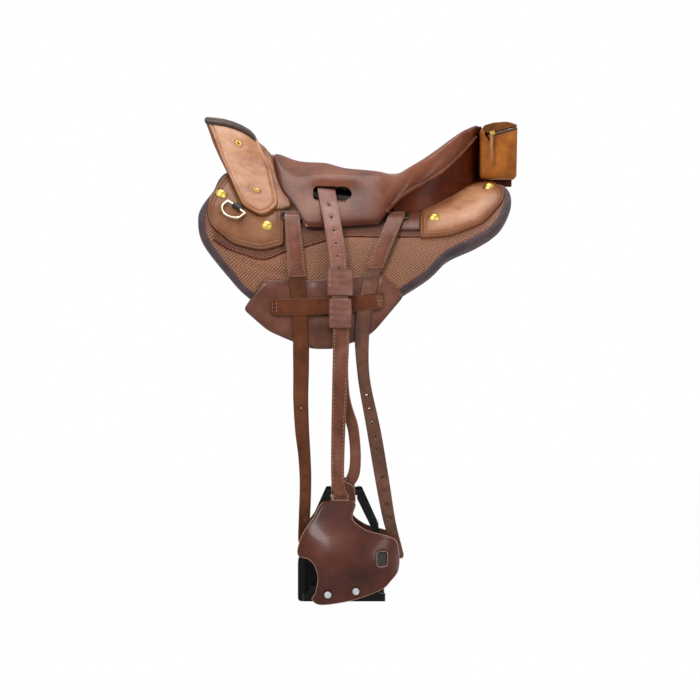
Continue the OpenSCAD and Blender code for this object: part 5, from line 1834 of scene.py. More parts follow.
@dataclass(frozen=True)
class PommelForm:
    """The section of the pommel: a round top and the flank's arc, with the straight line that touches both."""

    top_z: float = 25.0
    top_r: float = 52.0
    foot_r: float = 252.1

    @property
    def shape(self) -> tuple[float, float, float]:
        """Returns the angle where the line starts, the run of the round top, and the length of the line."""
        run = np.array([-BACK.half_gap, -BACK.radius - self.top_z])
        far = np.linalg.norm(run)
        turn = 2 * math.pi + math.atan2(run[1], run[0]) - math.acos((self.top_r - self.foot_r) / far)
        return turn, self.top_r * (turn - math.pi / 2), math.sqrt(far**2 - (self.foot_r - self.top_r) ** 2)

    def section(self, s: Arr, e: Arr) -> tuple[Arr, Arr]:
        """Returns the near side's Y and section height at a run down the form and a distance off it.

        Args:
            s: Runs down the form.
            e: Distances off it.

        Returns:
            Y and section height of each point.
        """
        turn, arc, line = self.shape
        s, e = np.broadcast_arrays(np.abs(np.asarray(s, float)), np.asarray(e, float))
        a = np.where(s < arc, math.pi / 2 + s / self.top_r, turn)
        foot = turn + np.maximum(s - arc - line, 0) / self.foot_r
        y = (self.top_r + e) * np.cos(a) + np.maximum(s - arc, 0) * -math.sin(turn)
        z = self.top_z + (self.top_r + e) * np.sin(a) + np.maximum(s - arc, 0) * math.cos(turn)
        low = s > arc + line
        y = np.where(low, -BACK.half_gap + (self.foot_r + e) * np.cos(foot), y)
        z = np.where(low, -BACK.radius + (self.foot_r + e) * np.sin(foot), z)
        return y, z

    def flat(self, outline: Arr, e: float) -> Arr:
        """Unrolls an outline seen from the side; a point above the ridge gets a run below zero.

        Args:
            outline: Outline seen from the side.
            e: Distance off the form.

        Returns:
            Rows of places along the saddle and runs.
        """
        s = np.linspace(0, 420, 900)
        _, level = self.section(s, e)
        want = BACK.level(outline[:, 0], outline[:, 1])
        run = np.interp(-want, -level, s)
        return np.column_stack([outline[:, 0], np.where(want >= level[0], -1.0, run)])

    def crown(self, x: Arr, s: Arr) -> Arr:
        """Returns how far the ridge of the pommel rises above the swept form.

        Args:
            x: Places along the saddle.
            s: Runs down the form.

        Returns:
            One rise a point.
        """
        lift = np.interp(x, (-318, -308, -296, -280, -264, -248, -234, -225, -208),
                         (0, 3.1, 7.9, 13.0, 15.4, 15.2, 12.0, 7.0, 0))
        return lift * (1 - ease((np.abs(s) - 18) / 90))

    def laid(self, x: Arr, s: Arr, e: Arr) -> Arr:
        """Lays points of the flat on the form, the near side where the run is above zero."""
        y, level = self.section(s, e)
        return np.column_stack([x, y * np.where(s >= 0, 1, -1), BACK.height(x, level) + self.crown(x, s)])


POMMEL = PommelForm()


@dataclass
class Pommel:
    """The leather over the pommel: the tan cover, the broad patch over it and the dark rim at the top.

    Attributes:
        cover: Corners with their radii, seen from the side, as for the patch and the rim.
        eyelets: Place and height of the brass eyelets.
        cover_e: Inner and outer distance off the form, as for the patch and the rim.
        rim_half: How far down each side the rim reaches.
    """

    finish: Finish
    cover: tuple[Pair3, ...] = (
        (-318, 170, 2), (-301, 120, 60), (-244, 6, 14), (-222, -3, 10), (-176, -3, 3), (-158, 3, 3), (-172, 37, 20),
        (-178, 74, 20), (-179, 84, 3), (-194, 97, 3), (-227, 135, 3), (-246, 170, 2))
    patch: tuple[Pair3, ...] = (
        (-316, 168, 2), (-298, 122, 60), (-246, 4, 30), (-209, -17, 22), (-180, 4, 18), (-196, 78, 120),
        (-226, 132, 3), (-244, 168, 2))
    rim: tuple[Pair3, ...] = (
        (-318, 166, 6), (-300, 128, 3), (-224, 110, 3), (-222, 132, 10), (-248, 170, 3), (-300, 176, 3))
    eyelets: tuple[Pair, ...] = ((-254, 117), (-221, 31))
    cover_e: Pair = (0.3, 4.0)
    patch_e: Pair = (4.3, 8.0)
    rim_e: Pair = (8.3, 12.9)
    rim_half: float = 27.0
    beads: tuple[float, ...] = (0.6, 1.6, 3.0, 4.8, 6.0, 7.0, 8.0, 9.6, 11.4)

    def outline(self, corners: Sequence[Pair3], e: float, limit: float) -> Arr:
        """Unrolls an outline over the ridge onto both sides.

        Args:
            corners: Corners seen from the side, with their radii.
            e: Distance off the form of the face that is seen.
            limit: The run at which the sides are cut off.

        Returns:
            The closed outline on the flat.
        """
        flat = POMMEL.flat(even(rounded(corners), 1.5), e)
        hidden = flat[:, 1] < 0
        first = int(np.argmax(hidden & ~np.roll(hidden, -1))) + 1
        run = np.roll(flat, -first, 0)
        run = run[run[:, 1] >= 0]
        run[:, 1] = np.minimum(run[:, 1], limit)
        return np.vstack([run, (run * (1, -1))[::-1]])

    def sheet(self, name: str, line: Arr, e: Pair, rise: Lay, step: float, rings: Sequence[float],
              holes: Sequence[Arr]) -> Obj:
        """Lays a cut outline over the pommel, between two distances off its form, and returns the piece.

        Args:
            name: The piece's name.
            line: Closed outline on the flat.
            e: Inner and outer distance off the form.
            rise: Relief of the outer face.
            step: Distance between points.
            rings: Depths of the rows of points along the edge.
            holes: Outlines that are cut through.

        Returns:
            The piece, shaded smooth.
        """
        obj = cut_sheet(name, line, lambda x, s, d: POMMEL.laid(x, s, e[1] + rise(x, s, d)),
                        lambda x, s, d: POMMEL.laid(x, s, np.full_like(x, e[0])), step, rings, holes)
        smooth(obj, SHADE_ANGLE)
        return obj

    def build(self) -> list[Piece]:
        """Models the pommel's leather and its eyelets, and returns them."""
        holes, rings = [], []
        s = np.linspace(0, 300, 600)
        ring_e = (self.patch_e[0], self.patch_e[1] + 1.2)
        for k, (x, z) in enumerate(self.eyelets):
            run = float(np.interp(-z, -POMMEL.laid(np.full_like(s, x), s, self.patch_e[1])[:, 2], s))
            for sign in (1, -1):
                holes.append(ring_of_points(x, run * sign, 4.9, 16))
                ring = self.sheet(f"brass_eyelet_{k}_{sign > 0:d}", ring_of_points(x, run * sign, 6.0, 28), ring_e,
                                  lambda x, s, d: -rounding(d, 1.3), 1.2, (0.4, 0.9, 1.5),
                                  [ring_of_points(x, run * sign, 2.9, 16)])
                rings.append(dress(ring, self.finish.brass))
        fin, pieces = self.finish, []
        for name, node, corners, e, soft, lines, cut, limit, look in (
                ("tan_pommel_cover", "pommel_cover", self.cover, self.cover_e, 1.6, ((-0.4, 4.5, 0.9),), (), FAR,
                 fin.tan),
                ("pommel_patch_leather", "pommel_patch", self.patch, self.patch_e, 1.8,
                 ((0.8, 3.0, 2.0), (-1.0, 7.0, 1.3), (0.5, 11.0, 2.2)), holes, FAR, fin.patch),
                ("dark_pommel_rim", "pommel_rim", self.rim, self.rim_e, 3.0, ((-1.6, 0.0, 4.0),), (), self.rim_half,
                 fin.rim)):
            obj = self.sheet(name, self.outline(corners, e[1], limit), e, tooled(lines, soft), 4.0, self.beads, cut)
            pieces.append(Piece(dress(obj, look), SADDLE, (node,)))
        return pieces + [Piece(ring, SADDLE, ("pommel_eyelets",) if ring is rings[0] else ()) for ring in rings]


@dataclass
class Seat:
    """The padded leather seat with its two flaps and the slots that the stirrup leathers come through.

    Attributes:
        stations: Place along the saddle, top, half width of the rim, height of the edge and dish of the middle.
        padding: Thickness of the stuffing in the middle.
        edge_t: Thickness at the edge.
        edge_r: Radius of the flank that the flaps lie on.
        overhang: How far the seat's rear edge stands out over the cantle's wall.
        cantle_r: Radius of the cantle's wall about an upright axis at cantle_x.
        slope: How much that radius shrinks a millimetre up.
        meet: Where the flap's edge starts and ends to turn into the rear edge.
        slot: Corners of the stirrup slot with their radii.
        half_steps: Points from the middle to the edge.
        crease: Angle in degrees from which its faces meet in a crease.
        rows: Sections along the seat.
    """

    finish: Finish
    stations: tuple[tuple[float, float, float, float, float], ...] = (
        (-193, 101, 40, 88, 2), (-190.5, 103, 41, 72, 2), (-182, 99, 42, 48, 2), (-172, 95, 43, 27, 2),
        (-152, 87, 48, 4, 3), (-136, 83, 55, -25, 3), (-127, 82, 58, -33.5, 3), (-94, 80, 66, -34, 4),
        (-60, 71, 72, -32.5, 5), (-20, 68, 84, -29.5, 6), (1, 66, 94, -25.5, 8), (18, 63, 104, -4, 8),
        (36, 65, 112, 15, 10), (57, 76, 120, 29.5, 18), (82, 91, 122, 43.7, 24), (105, 107, 114, 58.5, 28),
        (125, 122, 104, 74.5, 30), (147, 137, 84, 96, 26), (162, 145, 60, 112, 18), (171, 149, 40, 122.5, 10),
        (178, 151.5, 30, 129, 5), (185.5, 153, 24, 133, 2))
    padding: float = 15.0
    edge_t: float = 5.0
    edge_r: float = 258.4
    overhang: float = 14.0
    cantle_r: float = 168.0
    cantle_x: float = 20.0
    slope: float = 22 / 140
    meet: Pair = (-8.0, 28.0)
    slot: tuple[Pair3, ...] = ((-119, 14, 6), (-60, 12, 12), (-46, 22, 9), (-56, 37, 12), (-119, 39, 9))
    half_steps: int = 44
    rows: int = 150
    crease: float = 35.0

    def edge_y(self, x: float, z: float) -> float:
        """Returns how far out the seat's edge lies.

        Args:
            x: Place along the saddle.
            z: Height of the edge there.

        Returns:
            Its distance from the middle plane.
        """
        reach = self.cantle_r - self.slope * z + self.overhang
        rear = math.sqrt(max(reach**2 - (x - self.cantle_x) ** 2, 64))
        if x > self.meet[1]:
            return rear
        flank = -float(BACK.point([x], [z], [self.edge_r])[0, 1])
        if x < -140:
            y, level = POMMEL.section(np.linspace(0, 420, 600), 6.0)
            return max(flank, float(np.interp(-BACK.level(x, z), -level, -y)))
        k = float(ease((x - self.meet[0]) / (self.meet[1] - self.meet[0])))
        return flank * (1 - k) + rear * k

    def swell(self, x: float, z: Arr) -> Arr:
        """Returns the stuffing's relief: a lip over the slot, a hollow round it and the roll along the rear rim.

        Args:
            x: Place along the saddle.
            z: Heights of the section's points from the middle out to the edge.

        Returns:
            One relief a point.
        """
        near = math.exp(-(((x + 82) / 52) ** 4))
        side = np.clip(np.linspace(-1, 1, len(z)), 0, 1)
        roll = 8.0 * np.sin(np.pi * side) * ease((x + 14) / 70) * min(max((190 - x) / 40, 0), 1)
        lip = 6.5 * ridge(z, 52, 13) - 3.5 * ridge(z, 24, 17) + 2.0 * ridge(z, -12, 18)
        return lip * near + roll

    def ring(self, s: Arr) -> tuple[Arr, Arr]:
        """Returns the closed section at a station, and each point's distance to the seat's edge.

        Args:
            s: One row of the smoothed stations.

        Returns:
            Points of the section, and one distance a point.
        """
        x, top, half, low, dish = s
        out = max(self.edge_y(x, low), half + 6)
        back = 4.0 / (1 + math.exp(-(x - 14) / 13))
        frame = np.array([
            (0, top - dish), (half * 0.55, top - dish * 0.55), (half, top - 3),
            ((half + out) / 2 + back, (top + low) / 2 + 6), (out, low)])
        h = through(frame, self.half_steps + 1)
        t = min(self.padding, 0.45 * (top - dish - low + self.edge_t))
        te = min(self.edge_t, t) * 1.4
        w = np.linspace(0, 1, self.half_steps + 1)[:, None]
        g = h - np.hstack([w * te, (1 - w) * t + w])
        run = lengths(h)
        depth = run[-1] - run
        ahead = unit(np.gradient(h, axis=0))
        outward_ = np.column_stack([-ahead[:, 1], ahead[:, 0]])
        end = min(rounding(min(x - self.stations[0][0], self.stations[-1][0] - x), 14.0), 0.4 * t)
        rise = self.swell(x, h[:, 1]) - np.minimum(rounding(depth, 9.0) * 0.35, 0.55 * te) - end
        h = h + outward_ * rise[:, None]
        flat = np.vstack([(h * (-1, 1))[:0:-1], h, g[:0:-1], g * (-1, 1)])
        edge = np.concatenate([depth[:0:-1], depth, depth[:0:-1], depth])
        return np.column_stack([np.full(len(flat), x), flat]), edge

    def build(self) -> list[Piece]:
        """Models the seat and returns it."""
        stations = smooth_line(self.stations, self.rows)
        rows = [self.ring(s) for s in stations]
        rings = np.stack([r for r, _ in rows])
        seat = loft("leather_seat", rings)
        x = rings[:, :, 0]
        ends = np.minimum(x - x[0, 0], x[-1, 0] - x + 3)
        # Towards the rear the edge distance grows, so the raw edge and the painted edge shade fade out and the rear
        # reads lighter.
        rear_edge_fade = np.clip((x - 30) * 0.2, 0, 20)
        edge = np.minimum(np.stack([e for _, e in rows]), ends) + rear_edge_fade
        # From x = -128 rearwards no raw edge shows, but the painted shade along the flap's bottom and edges stays.
        mark(seat, "edge", np.maximum(edge, np.where(x > -128, 1.8, 0)).ravel())
        line = rounded(self.slot, 6)
        prism = [np.column_stack([line[:, 0], np.full(len(line), y), line[:, 1]]) for y in (-260.0, 260.0)]
        cut_out(seat, loft("slot_cutter", np.stack(prism)))
        smooth(seat, self.crease)
        path = [(x, self.edge_y(x, low) - 1.0, low + 1.0) for x, _, _, low, _ in stations if 12 < x < 176]
        roll = tube("rolled_seat_rim", np.array(path + [(x, -y, z) for x, y, z in path[::-1]]), 3.6)
        smooth(whole(roll), ROUND_ANGLE)
        return [Piece(dress(seat, self.finish.seat), SADDLE, ("seat",), 0.7),
                Piece(dress(roll, self.finish.seat), SADDLE)]


@dataclass
class Cantle:
    """The dark leather wall that goes round behind and below the seat's rim.

    Attributes:
        thick: Thickness of the wall.
        floor_r: Radius of the layer that it stands on.
        half_turn: How far round it goes to each side, in degrees.
        bag_x: Where the bag begins, which the wall bulges to.
        bulge: How far it may bulge there.
        top: Place along the saddle and height of its upper edge.
        cells: Cells round and up the wall.
    """

    finish: Finish
    seat: Seat
    thick: float = 8.0
    floor_r: float = 252.4
    half_turn: float = 88.0
    bag_x: float = 183.0
    bulge: float = 17.0
    top: tuple[Pair, ...] = (
        (20, -4), (37, 15), (57, 28.5), (82, 42.5), (105, 57.5), (125, 73.5), (147, 95.5), (158, 110), (164, 122),
        (169, 134), (240, 140))
    cells: tuple[int, int] = (120, 24)

    def face(self, off: float) -> Callable[[Arr, Arr], Arr]:
        """Returns the rule for a face of the wall that lies inside its outer face by a distance.

        Args:
            off: Distance inside the outer face.

        Returns:
            The rule, which takes shares round and up the wall.
        """
        seat = self.seat
        along, high_at = ([p[k] for p in self.top] for k in (0, 1))

        def place(u: Arr, v: Arr) -> Arr:
            """Returns the places of points of the face."""
            turn = np.radians((u * 2 - 1) * self.half_turn)
            reach = seat.cantle_r - off
            for _ in range(6):
                x, y = seat.cantle_x + reach * np.cos(turn), reach * np.sin(turn)
                rise = np.sqrt(np.maximum(self.floor_r**2 - np.maximum(np.abs(y) - BACK.half_gap, 0) ** 2, 0))
                low = BACK.height(x, rise - BACK.radius)
                high = np.interp(x, along, high_at) + 2
                z = low + (np.maximum(high, low + 1) - low) * v
                reach = seat.cantle_r - seat.slope * z - off
            if off == 0:
                back = np.clip(self.bag_x - seat.cantle_x - reach, 0, self.bulge) * np.clip((z - 36) / 12, 0, 1)
                reach = reach + back * np.clip(1.5 * np.cos(turn) - 0.5, 0, 1) + np.sin(np.pi * v)
            return np.column_stack([seat.cantle_x + reach * np.cos(turn), reach * np.sin(turn), z])

        return place

    def build(self) -> list[Piece]:
        """Models the wall and returns it."""
        size = (500.0, 110.0)
        outer = grid("dark_cantle_wall", *self.cells, self.face(0.0), size)
        inner = grid("cantle_inner", *self.cells, self.face(self.thick), size)
        inner.data.flip_normals()
        wall = join("dark_cantle_wall", [outer, inner])
        pick(wall)
        bpy.ops.object.mode_set(mode="EDIT")
        bpy.ops.mesh.select_all(action="DESELECT")
        bpy.ops.mesh.select_mode(type="EDGE")
        bpy.ops.mesh.select_non_manifold()
        bpy.ops.mesh.bridge_edge_loops()
        bpy.ops.object.mode_set(mode="OBJECT")
        outward(wall)
        smooth(whole(wall), SHADE_ANGLE)
        return [Piece(dress(wall, self.finish.dark), SADDLE, ("cantle_cover",))]


# ---- stirrup hood, bag and small pieces


@dataclass
class Hood:
    """The leather hood that closes the front of a stirrup.

    Attributes:
        rows: Height, and how far the middle and the sides stand out in front of the stirrup's bar.
        outline: Points that its edge passes through, seen from the side.
        slot: Corners of its slot with their radii.
        strap: Corners of the strap behind that slot.
        rivets: Middles of the holes for the rivets.
        heel: Corners of the black sheet behind the stirrup's front branch, which paints the shaded inside of the hood.
        bar_y: Y of the stirrup's bar.
        mid_x: Middle of the hood along the saddle.
        half: Half its width.
        thick: Thickness of its leather.
        tongue: Where its top carries on as the tongue, along the saddle.
        step: Distance between points on its sheets.
        crease: Angle in degrees from which their faces meet in a crease.
    """

    side: Side
    finish: Finish
    rows: tuple[Pair3, ...] = (
        (-526, 8, 8), (-559, 24.8, 13.5), (-595, 47.1, 13.5), (-629, 60.1, 13.5), (-652, 58.9, 16), (-670, 47.1, 24),
        (-686, 36, 29.5), (-700, 32, 29.5), (-719, 31, 29.5))
    outline: tuple[Pair, ...] = (
        (-102, -529), (-72, -526), (-43, -529), (-48, -552), (-44, -563), (-24, -577), (0, -584), (20, -590),
        (32, -601), (36, -630), (33, -652), (20, -669), (4, -684), (-40, -701), (-78, -709), (-108, -711),
        (-121, -701), (-115, -690), (-110, -663), (-116, -641), (-128, -629), (-144, -625), (-146, -610),
        (-136, -582), (-118, -555))
    slot: tuple[Pair3, ...] = ((-4, -617, 5), (14, -615, 5), (14, -641, 5), (-4, -643, 5))
    strap: tuple[Pair3, ...] = ((-12, -606, 3), (20, -604, 3), (20, -652, 3), (-12, -654, 3))
    rivets: tuple[Pair, ...] = ((-92, -693), (-42, -687))
    heel: tuple[Pair3, ...] = ((-144, -616, 8), (-104, -616, 4), (-104, -700, 4), (-124, -702, 10), (-136, -690, 12))
    bar_y: float = -301.7
    mid_x: float = -59.5
    half: float = 94.0
    thick: float = 3.5
    tongue: Pair = (-98.0, -47.0)
    step: float = 4.0
    crease: float = 45.0

    def front(self, x: Arr, z: Arr) -> Arr:
        """Returns the Y of the hood's inner face.

        Args:
            x: Places along the saddle.
            z: Heights.

        Returns:
            One Y a point.
        """
        line = through(np.asarray(self.rows, float), 300)
        mid, sides = (np.interp(-z, -line[:, 0], line[:, k]) for k in (1, 2))
        off = np.minimum(np.abs(x - self.mid_x) / self.half, 1)
        return self.bar_y - sides - (mid - sides) * (1 - off**2.2) ** 0.6

    def bulged(self, relief: Callable[[Arr], Arr]) -> Lay:
        """Returns the face that lies off the hood's inner face by a relief, which reads the edge's distance."""
        return lambda x, z, d: np.column_stack([x, self.front(x, z) + relief(d), z])

    def build(self) -> list[Piece]:
        """Models the hood with its creased edge, the strap behind its slot and the black sheet at its heel that paints
        its shaded inside, and returns them.
        """
        body = f"stirrup_{self.side.tag}"
        holes = [rounded(self.slot, 5)] + [ring_of_points(x, z, 2.8) for x, z in self.rivets]
        hood = self.sheet(
            "stirrup_hood", smooth_line(self.outline, 200, closed=True),
            self.bulged(lambda d: rounding(d, 1.3) + 0.45 * ridge(d, 4.2, 0.9) - self.thick),
            self.bulged(lambda d: -rounding(d, 0.8)), self.finish.hood, rings=(0.5, 1.3, 2.8, 4.2, 5.6), holes=holes)
        self.run_on(hood)
        strap = self.sheet(
            "hood_slot_strap", rounded(self.strap), self.bulged(lambda d: 0.5 + rounding(d, 0.6)),
            self.bulged(lambda d: 2.5 - rounding(d, 0.6)), self.finish.webbing)
        # Painted shade: a black sheet where the inside of the hood lies in shade.
        wall = self.sheet(
            "hood_heel_wall", rounded(self.heel), upright(self.bar_y + 20.0, -1), upright(self.bar_y + 22.5, 1),
            self.finish.webbing)
        return [Piece(hood, body, (f"hood_{self.side.tag}",)), Piece(strap, body), Piece(wall, body)]

    def sheet(self, name: str, edge: Arr, top: Lay, under: Lay, look: Mat, **how: Sequence) -> Obj:
        """Cuts one sheet of the hood and returns it on its own side with its material.

        Args:
            name: The piece's name.
            edge: Outline seen from the side.
            top: The outer face.
            under: The inner face.
            look: Its material.
            **how: Other settings of the cut.

        Returns:
            The sheet.
        """
        obj = cut_sheet(f"{name}_{self.side.tag}", edge, top, under, self.step, **how)
        smooth(obj, self.crease)
        return fitted(obj, self.side, look)

    def run_on(self, obj: Obj) -> None:
        """Takes the raw edge off the hood's top, where the tongue carries on from it.

        Args:
            obj: The hood.
        """
        layer = obj.data.attributes["edge"]
        for v, item in zip(obj.data.vertices, layer.data):
            if self.tongue[0] < v.co.x / MM < self.tongue[1]:
                item.value += 30 * min(max((v.co.z / MM + 548) / 14, 0), 1)


@dataclass
class RingTab:
    """The webbing tab that holds a D-ring to the front jockey.

    Attributes:
        x: Place of the ring's axis along the saddle.
        z: Its height.
        turn: How far the tab is turned on the jockey, in degrees.
        r: Radius of the flank at the axis.
        wire: Radius of the ring's wire.
        tape: Thickness of the tape.
        width: Width of the tape.
        tail: Length of the tape's end under the ring.
    """

    side: Side
    finish: Finish
    x: float = -256.0
    z: float = 0.0
    turn: float = 50.0
    r: float = 256.5
    wire: float = 2.1
    tape: float = 2.0
    width: float = 16.0
    tail: float = 13.0

    def build(self) -> list[Piece]:
        """Models the folded tab and returns it."""
        mid = self.wire + self.tape / 2
        fold = [(-mid * math.cos(t), mid * math.sin(t)) for t in np.linspace(0, math.radians(350), 26)]
        line = np.array([(-mid, -self.tail)] + fold)
        n = BACK.normal([self.x], [self.z], self.r)[0]
        base = BACK.point([self.x], [self.z], [self.r])[0]
        up = np.array([0, 0, 1.0]) - n * n[2]
        up /= np.linalg.norm(up)
        along = np.cross(up, n)
        if along[0] < 0:
            along = -along
        a = math.radians(self.turn)
        e1, e2 = along * math.cos(a) - up * math.sin(a), along * math.sin(a) + up * math.cos(a)
        ahead = unit(np.gradient(line, axis=0))
        side = np.column_stack([-ahead[:, 1], ahead[:, 0]]) * self.tape / 2
        rings = []
        for p, s in zip(line, side):
            corners = [(w, p + k * s) for w, k in ((-1, -1), (1, -1), (1, 1), (-1, 1))]
            rings.append([base + e1 * w * self.width / 2 + n * q[0] - e2 * q[1] for w, q in corners])
        obj = loft(f"ring_tab_{self.side.tag}", np.array(rings))
        smooth(obj, TAPE_ANGLE)
        return [Piece(fitted(obj, self.side, self.finish.webbing), SADDLE, once(self.side, "ring_tabs"))]


@dataclass
class CantleBag:
    """The small zipped bag behind the cantle, with its lid, zip, pull, backing and foot strap.

    Attributes:
        x: Where it starts and ends along the saddle.
        z: Heights of its bottom and top.
        width: Its width across the saddle.
        zip_at: Front end of the zip.
        zip_rise: How far the zip rises to the rear, in degrees.
        lid: The lid's hinge.
        seam: Half the gap that the zip leaves.
        zip_len: Length of the zip.
        pull: Points down the zip's pull.
        pads: Name, reach along the saddle, half width and heights of the backing's two slabs.
    """

    finish: Finish
    x: Pair = (182.0, 250.0)
    z: Pair = (51.0, 151.0)
    width: float = 170.0
    zip_at: Pair = (200.0, 134.0)
    zip_rise: float = 15.0
    lid: Pair = (189.0, 147.0)
    seam: float = 0.3
    zip_len: float = 49.0
    pull: tuple[Pair3, ...] = (
        (203, -92.3, 133), (203, -92.6, 126), (202.7, -92.6, 112), (203.2, -92.6, 96), (203, -92.5, 84))
    pads: tuple[tuple[str, Pair, float, Pair], ...] = (
        ("bag_back_pad", (179.2, 182), 44, (64, 98)), ("bag_foot_strap", (172, 240), 27, (39, 57)))

    def shell(self, name: str, profile: Sequence[Pair3], sag: float) -> Obj:
        """Models a stuffed leather form from its outline seen from the side.

        Args:
            name: The piece's name.
            profile: Corners with their radii.
            sag: How far its top and bottom sag in the middle.

        Returns:
            The closed form.
        """
        line = even(rounded(profile, 10), 2.2)
        mid = line.mean(0)
        half = self.width / 2
        # The third number of each row is its edge distance: low at the side seams, so that the leather's painted edge
        # shade darkens the bag towards them.
        caps = [(-1.0, k, d) for k, d in ((0.22, 30.0), (0.5, 18.0), (0.74, 9.0))]
        rows = caps + [(v, 1 - 0.1 * (max(abs(v) - 0.9, 0) * 10) ** 2.2, 2.0 + 130 * (1 - abs(v)))
                       for v in np.linspace(-1, 1, 51)]
        rings, edge = [], []
        for v, scale, depth in rows + [(1.0, k, d) for _, k, d in caps[::-1]]:
            x, z = ((line - mid) * scale).T
            drop = sag * math.cos(v * math.pi / 2) * np.clip(z / 60, -1, 1)
            rings.append(np.column_stack([mid[0] + x, np.full(len(line), v * half), mid[1] + z - drop]))
            edge.append(np.full(len(line), depth))
        obj = loft(name, np.stack(rings))
        mark(obj, "edge", np.concatenate(edge))
        smooth(obj, SHADE_ANGLE)
        return obj

    def build(self) -> list[Piece]:
        """Models the bag and returns its pieces."""
        (x0, x1), (z0, z1), (lid_x, lid_z), (zip_x, front) = self.x, self.z, self.lid, self.zip_at
        rear = front + (x1 - zip_x) * math.tan(math.radians(self.zip_rise))
        gap = self.seam
        body = self.shell("bag_pouch", [
            (x0, z0, 7), (x1 - 2, z0, 9), (x1, rear - gap, 3), (zip_x, front - gap, 2), (lid_x, front - gap, 1.5),
            (lid_x - 2, lid_z, 0.8), (x0, 138, 6)], 0.8)
        lid = self.shell("bag_flap", [
            (lid_x + 0.2, front + gap, 1.2), (zip_x, front + gap, 2), (x1, rear + gap, 0.8), (x1 - 1, z1 - 0.5, 2),
            (232, z1 + 5, 30), (206, z1 + 3, 20), (lid_x, lid_z + 2, 2.0)], 0.3)
        return [Piece(dress(body, self.finish.bag), SADDLE, ("bag_body",), 0.5),
                Piece(dress(lid, self.finish.bag_lid), "bag_lid", ("bag_lid",))] + self.zip_parts() + [self.backing()]

    def zip_parts(self) -> list[Piece]:
        """Models the tape and the teeth of the zip on both ends of the bag, and its pull."""
        made = []
        a = math.radians(self.zip_rise)
        along, up = np.array([math.cos(a), 0, math.sin(a)]), np.array([-math.sin(a), 0, math.cos(a)])
        section = ((-5.5, -0.5), (-0.2, -0.5), (-0.2, 0.5), (-2.8, 0.7), (-5.5, 0.5))
        for side in Side:
            out = np.array([0.0, -float(side.value), 0.0])
            base = np.array([self.zip_at[0], 0.0, self.zip_at[1]]) + out * (self.width / 2 + 0.7)
            run = np.linspace(0, self.zip_len, 26)
            rings = [[base + along * t + up * h + out * k for h, k in section] for t in run]
            tape = loft(f"zip_tape_{side.tag}", np.array(rings))
            smooth(tape, 30)
            made.append(Piece(dress(tape, self.finish.tape), SADDLE, once(side, "bag_zip")))
            path = np.array([base + along * t - up * 1.6 + out * 0.5 for t in np.linspace(10.0, self.zip_len - 1, 30)])
            teeth = stitches(f"zip_teeth_{side.tag}", path, np.tile(out, (len(path), 1)), 1.3, 0.7, 0.8)
            made.append(Piece(dress(teeth, self.finish.steel), SADDLE))
        cord = whole(tube("zip_pull_thong", smooth_line(self.pull, 40), 3.0, squash=0.36))
        smooth(cord, SHADE_ANGLE)
        return made + [Piece(dress(cord, self.finish.tan), "zip_pull", ("zip_pull",))]

    def backing(self) -> Piece:
        """Models the dark backing and foot that hold the bag to the cantle."""
        parts = []
        for name, x, y, z in self.pads:
            bpy.ops.object.select_all(action="DESELECT")
            bpy.ops.mesh.primitive_cube_add(size=1)
            obj = bpy.context.active_object
            obj.name = obj.data.name = name
            pick(obj)
            bpy.ops.object.mode_set(mode="EDIT")
            bpy.ops.mesh.select_all(action="SELECT")
            bpy.ops.transform.resize(value=((x[1] - x[0]) * MM, 2 * y * MM, (z[1] - z[0]) * MM))
            bpy.ops.mesh.subdivide(number_cuts=3)
            bpy.ops.transform.translate(value=(sum(x) / 2 * MM, 0, sum(z) / 2 * MM))
            bpy.ops.object.mode_set(mode="OBJECT")
            finish_with(obj, "BEVEL", width=1.0 * MM, segments=3, limit_method="ANGLE")
            smooth(whole(obj), TAPE_ANGLE)
            parts.append(obj)
        pad = join("bag_backing_leather", parts)
        return Piece(dress(pad, self.finish.dark), SADDLE, ("bag_backing",))


# ---- the studio


def seen_plainly(tree: Tree) -> Socket:
    """Returns a socket that is one for rays of the camera, of mirrors and through glass, and zero for others.

    Args:
        tree: The node tree of a material or a world.

    Returns:
        The socket.
    """
    path = add(tree, "LightPath").outputs
    seen = path["Is Camera Ray"]
    for ray in ("Is Glossy Ray", "Is Transmission Ray"):
        seen = add(tree, "Math", {"operation": "MAXIMUM"}, i0=seen, i1=path[ray]).outputs[0]
    return seen


